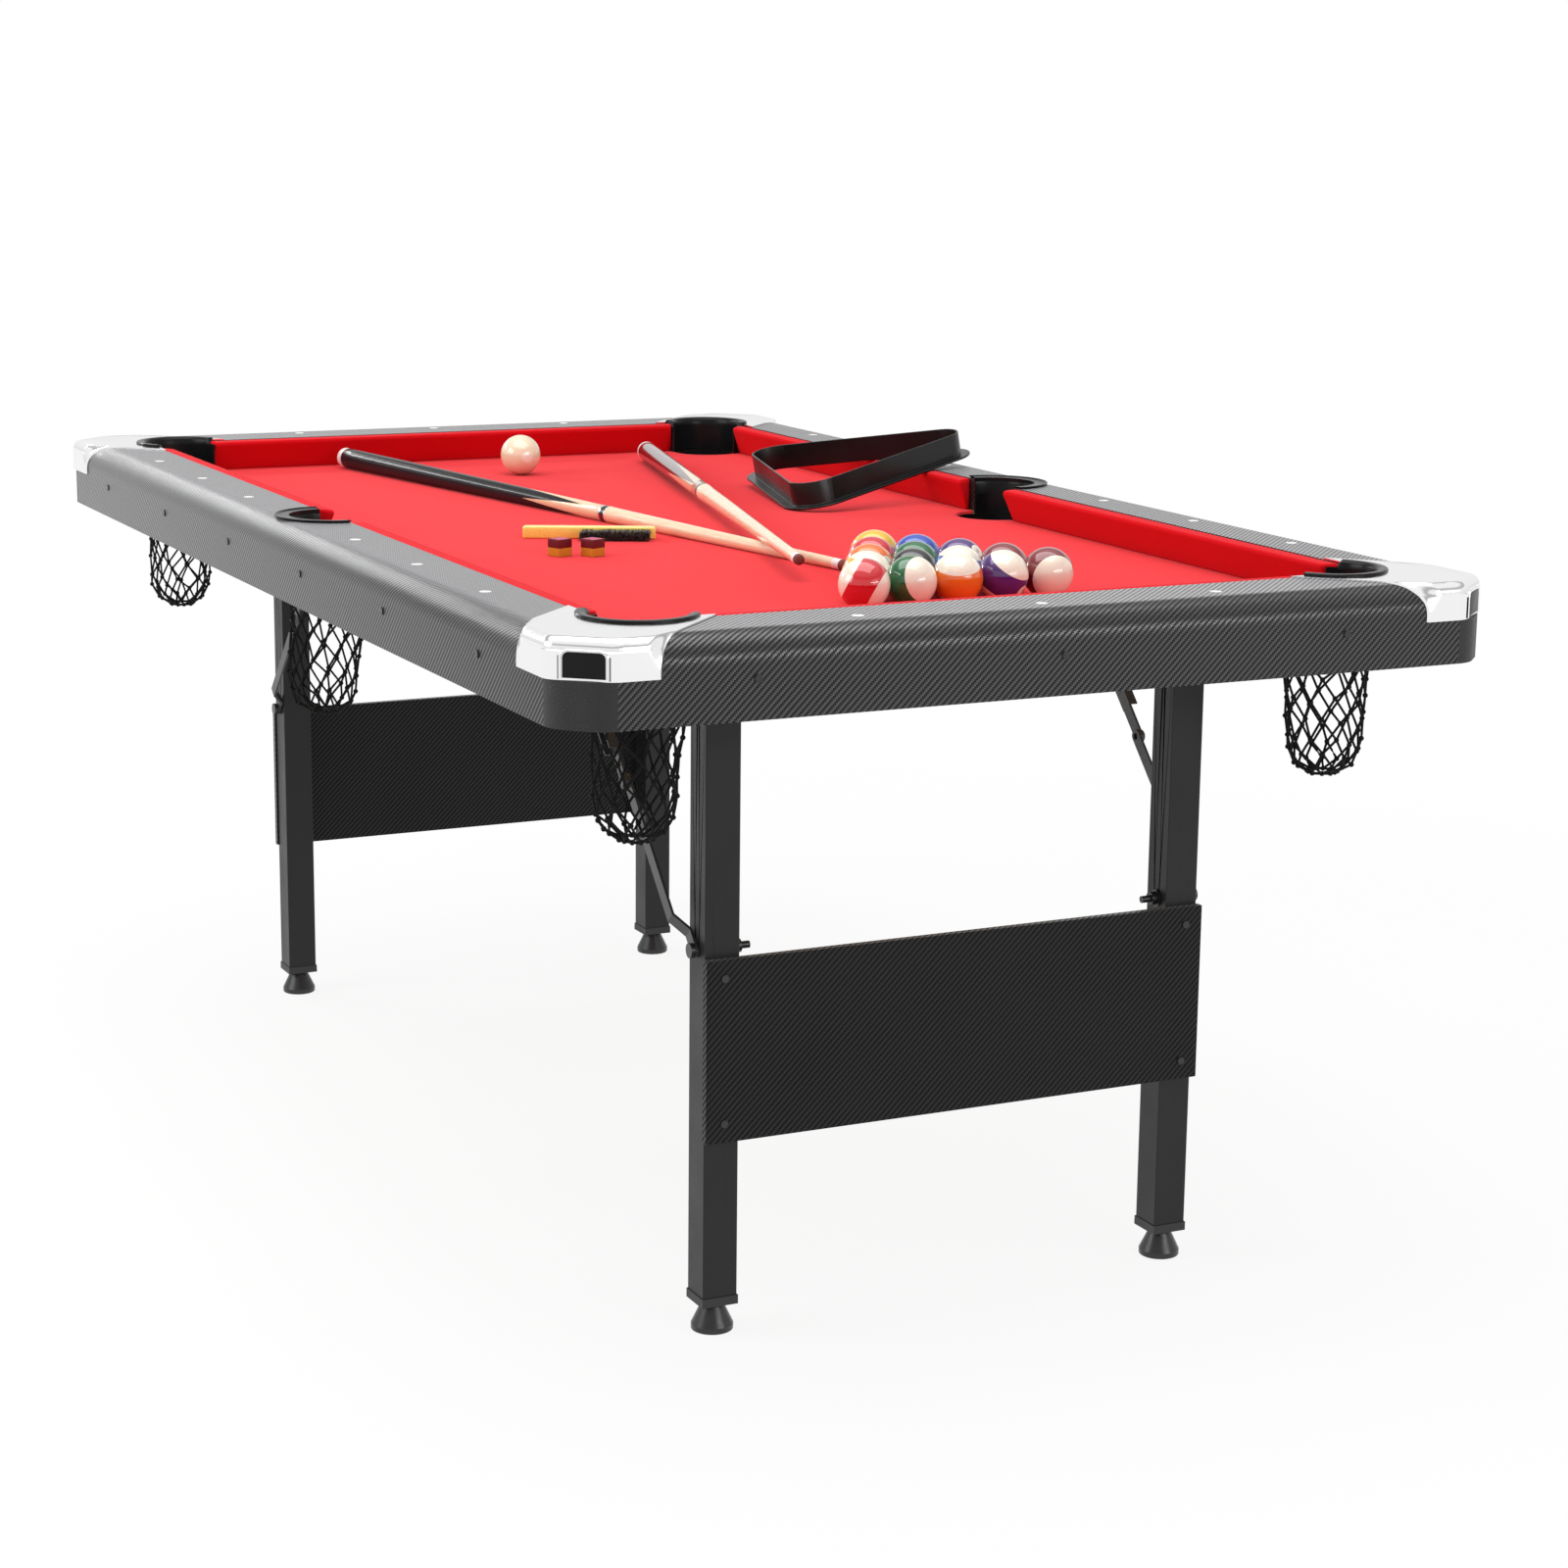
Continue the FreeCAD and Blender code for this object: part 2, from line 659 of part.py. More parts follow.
def net_bag(label, base):
    """Soft net bag below a pocket: an open cup of flat-sided taper, with a turned-in bottom."""
    body = new_body(label)
    top, turn = "liner_low - fit_gap", "net_low + net_turn"
    for kind, inset in (("AdditiveLoft", "0"), ("SubtractiveLoft", "net_wall")):
        levels = [("net_toe", f"net_low + {inset}"), ("net_belly", turn), ("net_top", top)]
        sketches = [outline(body, "XY_Plane", octagon(f"{half} - {inset}"), height)
                    for half, height in levels]
        loft = body.newObject(f"PartDesign::{kind}", kind)
        loft.Profile = sketches[0]
        loft.Sections = sketches[1:]
        loft.Ruled = True
        doc.recompute()
    place(body, (*base, "0"))


# ---------------------------------------------------------------- sights and screws

def rail_sights():
    discs = []
    for sy in SIDES.values():
        for step in (-3, -2, -1, 1, 2, 3):
            base = (f"{step} * side_sight_pitch", signed(sy, "side_sight_line"), "rail_top")
            discs.append(cylinder("sight_round", "sight_thick", base, (0, 0, 1)))
    for sx in ENDS.values():
        for step in (-1, 0, 1):
            base = (signed(sx, "end_sight_line"), f"{step} * end_sight_pitch", "rail_top")
            discs.append(cylinder("sight_round", "sight_thick", base, (0, 0, 1)))
    group("rail_sights", discs)


def screw(face, direction, shank, head, head_tall, length):
    """A screw whose head stands on a face and whose shank runs back into it."""
    inward = tuple(-value for value in direction)
    return [cylinder(shank, length, face, inward), cylinder(head, head_tall, face, direction)]


def apron_screws():
    pieces = []
    sizes = ("screw_shank", "screw_head", "screw_head_tall", "screw_long")
    for sy in SIDES.values():
        for across in side_screws:
            face = (across, signed(sy, "half_wide"), "screw_line")
            pieces += screw(face, (0, sy, 0), *sizes)
    for sx in ENDS.values():
        for across in end_screws:
            face = (signed(sx, "half_long"), across, "screw_line")
            pieces += screw(face, (sx, 0, 0), *sizes)
    group("apron_screws", pieces)


# ---------------------------------------------------------------- underframe

board_low = "(bed_top - cloth_thick - board_thick)"


def underframe_beams():
    """Two long beams and two end joists screwed under the bed board."""
    tall = f"{board_low} - apron_low"
    beams = []
    for sy in SIDES.values():
        low = "beam_in" if sy > 0 else "-beam_in - beam_wide"
        beams.append(box(("-beam_half_long", low, "apron_low"),
                         ("2 * beam_half_long", "beam_wide", tall)))
    for sx in ENDS.values():
        low = "joist_in" if sx > 0 else "-joist_in - beam_wide"
        beams.append(box((low, "-beam_in", "apron_low"), ("beam_wide", "2 * beam_in", tall)))
    group("underframe_beams", beams)


ear_in = "(leg_wide - leg_size / 2 - ear_gap - ear_thick)"
ear_out = "(leg_wide + leg_size / 2 + ear_gap)"


def hinge_bracket(label, sx, sy):
    """Saddle bracket under the board: a top plate and two ears with a round end."""
    body = new_body(label)
    low, high = ("leg_long - ear_round", "leg_long + ear_round")
    ear = [(low, "pivot_height", "ear_round", True), ("leg_long", "pivot_height - ear_round",
                                                       "ear_round", True),
           (high, "pivot_height"), (high, board_low), (low, board_low)]
    reach = f"({ear_out} + ear_thick - {ear_in})"
    start = ear_in if sy > 0 else f"-{ear_out} - ear_thick"
    pad(body, "XZ_Plane", mirror_points(ear, sx, 1), start, reach)
    gap = f"({ear_out} - {ear_in} - ear_thick)"
    start = f"{ear_in} + ear_thick" if sy > 0 else f"-{ear_out}"
    space = rectangle("leg_long - ear_round - 1", "pivot_height - ear_round - 1",
                      "leg_long + ear_round + 1", f"{board_low} - ear_thick")
    cut(body, "XZ_Plane", mirror_points(space, sx, 1), start, gap)
    start = ear_in if sy > 0 else f"-{ear_out} - ear_thick"
    drill(body, "XZ_Plane", [(signed(sx, "leg_long"), "pivot_height")], "pivot_round",
          f"{start} - 1", f"{reach} + 2")


def leg_pivot_bolts():
    pieces = []
    for sx, sy in CORNERS.values():
        start = (signed(sx, "leg_long"), signed(sy, ear_in), "pivot_height")
        length = f"{ear_out} + ear_thick - {ear_in}"
        head = (start[0], signed(sy, f"{ear_out} + ear_thick"), "pivot_height")
        pieces.append(cylinder("pivot_round", length, start, (0, sy, 0)))
        pieces.append(cylinder("pivot_round + 4", "4.5", head, (0, sy, 0)))
        pieces.append(cylinder("pivot_round + 3.5", "5", start, (0, -sy, 0)))
    group("leg_pivot_bolts", pieces)


# ---------------------------------------------------------------- leg frames

def leg(label, sx, sy):
    """Square tube with a pivot bore at the top and a bore for the brace bolt."""
    body = new_body(label)
    half, inner = "leg_size / 2", "(leg_size / 2 - leg_wall)"
    tall = "leg_high - leg_low"
    square = rectangle(f"leg_long - {half}", f"leg_wide - {half}",
                       f"leg_long + {half}", f"leg_wide + {half}")
    pad(body, "XY_Plane", mirror_points(square, sx, sy), "leg_low", tall)
    hollow = rectangle(f"leg_long - {inner}", f"leg_wide - {inner}",
                       f"leg_long + {inner}", f"leg_wide + {inner}")
    cut(body, "XY_Plane", mirror_points(hollow, sx, sy), "leg_low - 1", f"{tall} + 2")
    start = "leg_wide - leg_size / 2 - 1" if sy > 0 else "-leg_wide - leg_size / 2 - 1"
    drill(body, "XZ_Plane", [(signed(sx, "leg_long"), "pivot_height")],
          "pivot_round + running", start, "leg_size + 2")
    drill(body, "XZ_Plane", [(signed(sx, "leg_long"), "brace_bolt_height")],
          "brace_bolt", start, "leg_size + 2")
    start = "leg_long + leg_size / 2 - leg_wall - 1" if sx > 0 else "-leg_long - leg_size / 2 - 1"
    drill(body, "YZ_Plane", [(signed(sy, "panel_screw_wide"), height)
                             for height in ("panel_screw_low", "panel_screw_high")],
          "screw_shank", start, "leg_wall + 2")


def leg_cross_tube(name, sx):
    body = new_body(f"leg_cross_tube_{name}")
    half = "cross_deep / 2"
    section = rectangle(f"leg_long - {half}", "cross_low",
                        f"leg_long + {half}", "cross_low + cross_tall")
    hollow = rectangle(f"leg_long - {half} + leg_wall", "cross_low + leg_wall",
                       f"leg_long + {half} - leg_wall", "cross_low + cross_tall - leg_wall")
    reach = "(leg_wide - leg_size / 2)"
    pad(body, "XZ_Plane", mirror_points(section, sx, 1), f"-{reach}", f"2 * {reach}")
    cut(body, "XZ_Plane", mirror_points(hollow, sx, 1), f"-{reach} - 1", f"2 * {reach} + 2")


def leg_end_cap(label, sx, sy):
    """Plastic cup on the leg's lower end, with a boss bored for the foot's stem."""
    body = new_body(label)
    place(body, (signed(sx, "leg_long"), signed(sy, "leg_wide"), "0"))
    half, seat = "cap_size / 2", "(leg_size / 2 + running)"
    pad(body, "XY_Plane", rectangle(f"-{half}", f"-{half}", half, half),
        "cap_low", "cap_high - cap_low")
    cut(body, "XY_Plane", rectangle(f"-{seat}", f"-{seat}", seat, seat),
        "leg_low - running", "cap_high - leg_low + 1")
    boss = circles(body, "XY_Plane", [("0", "0")], "boss_round", "cap_low")
    feature = body.newObject("PartDesign::Pad", "Boss")
    feature.Profile = boss
    feature.setExpression("Length", bound("boss_high - cap_low"))
    doc.recompute()
    drill(body, "XY_Plane", [("0", "0")], "stem_round + running", "cap_low - 1",
          "boss_high - cap_low + 2")


def levelling_foot(label, sx, sy):
    body = new_body(label)
    revolve(body, [("0", "0"), ("foot_base - 2", "0", "2", True), ("foot_base", "2"),
                   ("foot_base", "foot_rim"), ("foot_neck", "foot_high - 1"),
                   ("foot_neck - 1", "foot_high"), ("stem_round", "foot_high"),
                   ("stem_round", "stem_high"), ("0", "stem_high")])
    place(body, (signed(sx, "leg_long"), signed(sy, "leg_wide"), "0"))


def end_panel(name, sx):
    body = new_body(f"end_panel_{name}")
    face = "(leg_long + leg_size / 2)"
    start = face if sx > 0 else f"-{face} - panel_thick"
    pad(body, "YZ_Plane", rectangle("-panel_half", "panel_low", "panel_half", "panel_high"),
        start, "panel_thick")
    holes = [(signed(sy, "panel_screw_wide"), height) for sy in SIDES.values()
             for height in ("panel_screw_low", "panel_screw_high")]
    drill(body, "YZ_Plane", holes, "screw_shank", f"{start} - 1", "panel_thick + 2")


def panel_screws(name, sx):
    pieces = []
    for sy in SIDES.values():
        for height in ("panel_screw_low", "panel_screw_high"):
            face = (signed(sx, "leg_long + leg_size / 2 + panel_thick"),
                    signed(sy, "panel_screw_wide"), height)
            pieces += screw(face, (sx, 0, 0), "screw_shank", "screw_head",
                            "screw_head_tall", "panel_thick + 14")
    group(f"panel_screws_{name}", pieces)


def brace_bolts(name, sx):
    """Bolts through the legs that the lower brace links turn on, with a washer and nut."""
    pieces = []
    for sy in SIDES.values():
        outer = "(brace_in + brace_thick + fit_gap)"
        inner = "(leg_wide - leg_size / 2)"
        place_x = signed(sx, "leg_long")
        tip = (place_x, signed(sy, f"{inner} - 20"), "brace_bolt_height")
        head = (place_x, signed(sy, outer), "brace_bolt_height")
        face = (place_x, signed(sy, inner), "brace_bolt_height")
        washer = (place_x, signed(sy, "leg_wide + leg_size / 2"), "brace_bolt_height")
        pieces.append(cylinder("brace_bolt", f"{outer} - {inner} + 20", tip, (0, sy, 0)))
        pieces.append(cylinder("brace_bolt + 4", "5", head, (0, sy, 0)))
        pieces.append(cylinder("brace_bolt + 6", "2", face, (0, -sy, 0)))
        pieces.append(cylinder("brace_bolt + 3.5", "9", face, (0, -sy, 0)))
        pieces.append(cylinder("brace_bolt + 4", "brace_in - leg_wide - leg_size / 2 - fit_gap",
                               washer, (0, sy, 0)))
    group(f"brace_bolts_{name}", pieces)


# ---------------------------------------------------------------- folding braces

bolt_place = FreeCAD.Vector(size_of("leg_long"), 0, size_of("brace_bolt_height"))
anchor_place = FreeCAD.Vector(size_of("anchor_long"), 0, size_of("anchor_height"))
link_long = (bolt_place - anchor_place).Length / 2
link_cell = f"B{len(DIMENSIONS) + 1}"
sheet.set(f"A{len(DIMENSIONS) + 1}", "link_long")
sheet.set(link_cell, "=sqrt((leg_long - anchor_long)^2 + (anchor_height - brace_bolt_height)^2) / 2")
sheet.setAlias(link_cell, "link_long")
DIMENSIONS["link_long"] = link_long
doc.recompute()


def link_rotation(start, end, sx, sy):
    """Turns a link's own X to run from start to end and its own Y to point outward."""
    along = (end - start).normalize()
    along.x *= sx
    outward = FreeCAD.Vector(0, sy, 0)
    return FreeCAD.Rotation(along, outward, along.cross(outward), "XYZ")


def end_edges(low, high):
    """Picks the short edges across a strip's thickness at its two ends."""
    def test(edge):
        ends = [vertex.Point for vertex in edge.Vertexes]
        across = abs(ends[0].y - ends[1].y) > 1e-3 and (ends[0] - ends[1]).Length < 5
        at_end = any(abs(ends[0].x - side) < 1e-3 and abs(ends[1].x - side) < 1e-3
                     for side in (low, high))
        return across and at_end
    return test


def brace_lower_link(label, sx, sy):
    """Flat bar that turns on the leg's bolt and steps outward to the knee."""
    body = new_body(label)
    half = "brace_wide / 2"
    inner, outer = "brace_in", "brace_out"
    strip = [(f"-{half}", inner), ("brace_bend_from", inner), ("brace_bend_to", outer),
             (f"link_long + {half}", outer), (f"link_long + {half}", f"{outer} + brace_thick"),
             ("brace_bend_to - 1", f"{outer} + brace_thick"),
             ("brace_bend_from - 1", f"{inner} + brace_thick"),
             (f"-{half}", f"{inner} + brace_thick")]
    pad(body, "XY_Plane", strip, f"-{half}", "brace_wide")
    round_ends(body, f"{half} - 0.5",
               end_edges(-size_of(half), size_of(f"link_long + {half}")))
    drill(body, "XZ_Plane", [("0", "0")], "brace_bolt + running", inner + " - 1",
          "brace_thick + 2")
    drill(body, "XZ_Plane", [("link_long", "0")], "brace_bolt + running", outer + " - 1",
          "brace_thick + 2")
    place(body, (signed(sx, "leg_long"), "0", "brace_bolt_height"),
          link_rotation(bolt_place, anchor_place, sx, sy))


def brace_upper_link(label, sx, sy):
    """Channel link from the anchor under the board to the knee, with a domed
    rivet head on the outside of the knee."""
    body = new_body(label)
    half = "brace_wide / 2"
    inner = "(brace_out + brace_thick + lap_gap)"
    outer = f"({inner} + brace_thick)"
    pad(body, "XY_Plane", rectangle(f"-{half}", inner, f"link_long + {half}", outer),
        f"-{half}", "brace_wide")
    round_ends(body, f"{half} - 0.5",
               end_edges(-size_of(half), size_of(f"link_long + {half}")))
    pad(body, "XY_Plane", rectangle("channel_from", inner, "channel_to",
                                    f"{outer} + channel_deep"),
        "-channel_half", "2 * channel_half")
    cut(body, "XY_Plane", rectangle("channel_from - 1", outer, "channel_to + 1",
                                    f"{outer} + channel_deep + 1"),
        "-channel_half + brace_thick / 2", "2 * channel_half - brace_thick")
    drill(body, "XZ_Plane", [("0", "0")], "brace_bolt + running", f"{inner} - 1",
          "brace_thick + 2")
    for radius, tall in (("brace_bolt + 3.5", "2"), ("brace_bolt + 2", "3.2")):
        head = circles(body, "XZ_Plane", [("link_long", "0")], radius,
                       plane_offset("XZ_Plane", outer, tall))
        feature = body.newObject("PartDesign::Pad", "RivetHead")
        feature.Profile = head
        feature.setExpression("Length", bound(tall))
    doc.recompute()
    place(body, (signed(sx, "anchor_long"), "0", "anchor_height"),
          link_rotation(anchor_place, bolt_place, sx, sy))


def brace_anchors():
    """Angle brackets under the board, each with the stud that an upper link turns on."""
    inner = "(brace_out + brace_thick + lap_gap)"
    ear = f"({inner} + brace_thick + lap_gap)"
    pieces = []
    for sx, sy in CORNERS.values():
        low_x = signed(sx, "anchor_long") + " - 12"
        low_y = ear if sy > 0 else f"-{ear} - ear_thick"
        foot_y = ear if sy > 0 else f"-{ear} - 15"
        pieces.append(box((low_x, low_y, "anchor_height - 10"),
                          ("24", "ear_thick", f"{board_low} - anchor_height + 10")))
        pieces.append(box((low_x, foot_y, f"{board_low} - 2"), ("24", "15", "2")))
        centre = signed(sx, "anchor_long")
        stud = (centre, signed(sy, f"{inner} - lap_gap"), "anchor_height")
        pieces.append(cylinder("brace_bolt", f"{ear} + ear_thick - {inner} + lap_gap", stud,
                               (0, sy, 0)))
        pieces.append(cylinder("brace_bolt + 3", "2.4", stud, (0, -sy, 0)))
    group("brace_anchors", pieces)


# ---------------------------------------------------------------- playing set

bed_clear = 0.05


def sphere(base):
    feature = doc.addObject("Part::Sphere", "Sphere")
    feature.setExpression("Radius", bound("ball_round"))
    place(feature, base)
    return feature


def object_balls():
    """Fifteen balls racked in five rows, the apex towards the far end."""
    balls = []
    pitch = "(2 * ball_round + ball_gap)"
    for row in range(5):
        for slot in range(row + 1):
            balls.append(sphere((f"rack_apex_long + {row} * {pitch} * sqrt(3) / 2",
                                 f"rack_apex_wide + {slot - row / 2} * {pitch}",
                                 f"bed_top + ball_round + {bed_clear}")))
    group("object_balls", balls)


def cue_ball():
    ball = sphere(("cue_ball_long", "cue_ball_wide", f"bed_top + ball_round + {bed_clear}"))
    finish_node(ball, "cue_ball")


def cue(label, butt, tip):
    """Two-piece cue: a tapered butt and shaft, from the bumper to the tip."""
    body = new_body(label)
    revolve(body, [("0", "0"), ("cue_butt - 3", "0"), ("cue_butt", "3"),
                   ("cue_joint", "cue_long / 2"), ("cue_tip", "cue_long - 3"),
                   ("cue_tip - 2", "cue_long"), ("0", "cue_long")])
    start = FreeCAD.Vector(*[size_of(text) for text in butt])
    end = FreeCAD.Vector(*[size_of(text) for text in tip])
    place(body, butt, FreeCAD.Rotation(FreeCAD.Vector(0, 0, 1), end - start))


def rounded_triangle(radius):
    """A triangle of three balls' centres, grown by radius, with round corners."""
    reach = "(4 * ball_round)"
    lean, rise = "sqrt(3) / 2", "0.5"
    apex = f"({reach} * sqrt(3))"
    return [(f"-{reach}", f"-({radius})"), (reach, f"-({radius})", radius, True),
            (f"{reach} + {lean} * ({radius})", f"{rise} * ({radius})"),
            (f"{lean} * ({radius})", f"{apex} + {rise} * ({radius})", radius, True),
            (f"-{lean} * ({radius})", f"{apex} + {rise} * ({radius})"),
            (f"-{reach} - {lean} * ({radius})", f"{rise} * ({radius})", radius, True)]


def ball_rack():
    """Triangle rack that leans on a side cushion, with one edge on the bed."""
    body = new_body("ball_rack")
    inner = "ball_round + triangle_play"
    outer = f"({inner} + triangle_wall)"
    pad(body, "XY_Plane", rounded_triangle(f"({outer} + triangle_rim)"), "0",
        "triangle_rim_thick")
    pad(body, "XY_Plane", rounded_triangle(outer), "0", "triangle_tall")
    cut(body, "XY_Plane", rounded_triangle(inner), "-1", "triangle_tall + 2")
    lean = FreeCAD.Rotation(FreeCAD.Vector(1, 0, 0), size_of("triangle_lean"))
    turn = FreeCAD.Rotation(FreeCAD.Vector(0, 0, 1), size_of("triangle_turn"))
    place(body, ("triangle_long", "triangle_place", "bed_top + triangle_rise"),
          lean.multiply(turn))


def table_brush():
    """Small cloth brush lying on its side: a wooden stock whose one half has tufts."""
    turn = FreeCAD.Rotation(FreeCAD.Vector(0, 0, 1), size_of("brush_turn"))
    low = f"bed_top + {bed_clear}"
    stock = box(("brush_place_long", "brush_place_wide", low), ("brush_long", "brush_wide * stock_share", "brush_tall"),
                turn)
    along = turn.multVec(FreeCAD.Vector(1, 0, 0)) * size_of("brush_long * tuft_from")
    aside = turn.multVec(FreeCAD.Vector(0, -1, 0)) * size_of("brush_wide * tuft_share")
    corner = stock.Placement.Base + along + aside
    bristles = box((f"{corner.x}", f"{corner.y}", f"{low} + brush_tall * tuft_low"),
                   ("brush_long * (tuft_to - tuft_from)", "brush_wide * tuft_share",
                    "brush_tall * tuft_tall"), turn)
    finish_node(stock, "brush_stock")
    finish_node(bristles, "brush_bristles")


def chalk_cubes():
    cubes = []
    for mark in ("a", "b"):
        turn = FreeCAD.Rotation(FreeCAD.Vector(0, 0, 1), size_of(f"chalk_{mark}_turn"))
        cubes.append(box((f"chalk_{mark}_long", f"chalk_{mark}_wide", f"bed_top + {bed_clear}"),
                         ("chalk", "chalk", "chalk"), turn))
    group("chalk_cubes", cubes)


# ---------------------------------------------------------------- assembly

playfield_board()
playfield_cloth()
for side_name, side_sign in SIDES.items():
    side_rail(side_name, side_sign)
    side_apron(side_name, side_sign)
for end_name, end_sign in ENDS.items():
    end_rail(end_name, end_sign)
    end_apron(end_name, end_sign)
corner_inset_plates()
rail_sights()
apron_screws()
underframe_beams()
leg_pivot_bolts()
brace_anchors()
for end_name, end_sign in ENDS.items():
    leg_cross_tube(end_name, end_sign)
    end_panel(end_name, end_sign)
    panel_screws(end_name, end_sign)
    brace_bolts(end_name, end_sign)
for corner_name, (corner_x, corner_y) in CORNERS.items():
    leg(f"leg_{corner_name}", corner_x, corner_y)
    levelling_foot(f"levelling_foot_{corner_name}", corner_x, corner_y)
    brace_lower_link(f"brace_lower_link_{corner_name}", corner_x, corner_y)
    brace_upper_link(f"brace_upper_link_{corner_name}", corner_x, corner_y)


def gather(label, makers):
    """Makes several bodies and keeps them together as one sub-part of separate solids."""
    first = len(nodes)
    for maker, arguments in makers:
        maker(*arguments)
    members = nodes[first:]
    del nodes[first:]
    fused = doc.addObject("Part::MultiFuse", label)
    fused.Shapes = members
    finish_node(fused, label)


gather("corner_castings", [(corner_casting, (name, *signs)) for name, signs in CORNERS.items()])
gather("end_cushions", [(end_cushion, (name, sign)) for name, sign in ENDS.items()])
gather("corner_aprons", [(corner_apron, (name, *signs)) for name, signs in CORNERS.items()])
gather("side_cushions_left", [(side_cushion, (f"{end}_left", sign, -1))
                              for end, sign in ENDS.items()])
gather("side_cushions_right", [(side_cushion, (f"{end}_right", sign, 1))
                               for end, sign in ENDS.items()])
gather("corner_pocket_liners", [
    (pocket_liner, (f"corner_liner_{name}",
                    (signed(sx, "corner_long"), signed(sy, "corner_wide")),
                    math.degrees(math.atan2(sy, sx)), "corner_flange", "cast_top",
                    "corner_reach"))
    for name, (sx, sy) in CORNERS.items()])
gather("middle_pocket_liners", [
    (pocket_liner, (f"middle_liner_{name}", ("0", signed(sy, "rail_in_wide")),
                    90 * sy, "mid_flange", "rail_top", "mid_reach"))
    for name, sy in SIDES.items()])
gather("pocket_nets",
       [(net_bag, (f"net_{index}", centre))
        for index, centre in enumerate(corner_centres + middle_centres)])
gather("hinge_brackets", [(hinge_bracket, (f"hinge_bracket_{name}", *signs))
                          for name, signs in CORNERS.items()])
for end_name, end_sign in ENDS.items():
    gather(f"leg_end_caps_{end_name}",
           [(leg_end_cap, (f"cap_{end_name}_{side}", end_sign, sign))
            for side, sign in SIDES.items()])

object_balls()
cue_ball()
cue("cue_lower", ("lower_butt_long", "lower_butt_wide", f"bed_top + cue_butt + {bed_clear}"),
    ("lower_tip_long", "lower_tip_wide", f"bed_top + cue_tip + {bed_clear}"))
cue("cue_upper", ("upper_butt_long", "upper_butt_wide", "bed_top + cue_butt + upper_butt_rise"),
    ("upper_tip_long", "upper_tip_wide", "bed_top + cue_tip + upper_tip_rise"))
ball_rack()
table_brush()
chalk_cubes()

doc.recompute()
for feature in doc.Objects:
    if "Invalid" in feature.State or "Error" in feature.State:
        raise ValueError(f"{feature.Label} ({feature.TypeId}) failed: {feature.State}")
for node in nodes:
    if node.Shape.isNull() or not node.Shape.isValid():
        raise ValueError(f"{node.Label} has no valid shape")

os.makedirs("parts", exist_ok=True)
for node in nodes:
    node.Shape.exportStep(f"parts/{node.Label}.step")
print(f"{len(nodes)} sub-parts written")
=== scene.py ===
import json
import math
import random

import bmesh
import bpy
import numpy as np
from mathutils import Matrix, Vector
from mathutils.geometry import delaunay_2d_cdt


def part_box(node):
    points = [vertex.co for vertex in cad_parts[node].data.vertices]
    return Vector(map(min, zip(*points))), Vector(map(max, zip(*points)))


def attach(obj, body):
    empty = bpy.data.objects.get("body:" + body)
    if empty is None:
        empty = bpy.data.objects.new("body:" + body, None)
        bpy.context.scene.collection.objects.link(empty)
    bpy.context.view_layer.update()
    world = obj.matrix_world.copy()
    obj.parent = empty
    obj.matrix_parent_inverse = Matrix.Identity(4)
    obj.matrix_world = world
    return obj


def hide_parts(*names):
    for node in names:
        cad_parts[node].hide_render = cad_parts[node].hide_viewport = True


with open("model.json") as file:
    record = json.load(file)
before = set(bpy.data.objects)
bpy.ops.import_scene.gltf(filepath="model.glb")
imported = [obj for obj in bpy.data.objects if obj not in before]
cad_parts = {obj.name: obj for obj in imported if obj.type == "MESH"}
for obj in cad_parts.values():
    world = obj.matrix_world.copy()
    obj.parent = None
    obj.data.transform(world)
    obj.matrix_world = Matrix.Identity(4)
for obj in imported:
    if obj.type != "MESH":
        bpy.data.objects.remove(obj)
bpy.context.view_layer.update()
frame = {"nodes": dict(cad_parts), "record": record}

MM = 0.001
BALL = 28.575 * MM                      # a ball's radius
STRIPE, DISC = 14.2 * MM, 8.4 * MM      # half a stripe's width, and a number disc's radius
CUE = 1219.0                            # a cue's length in mm
CORNERS = {"near_left": (1, -1), "near_right": (1, 1), "far_left": (-1, -1), "far_right": (-1, 1)}
ENDS = {"near": 1, "far": -1}
SIDES = {"left": -1, "right": 1}


# ---- node materials

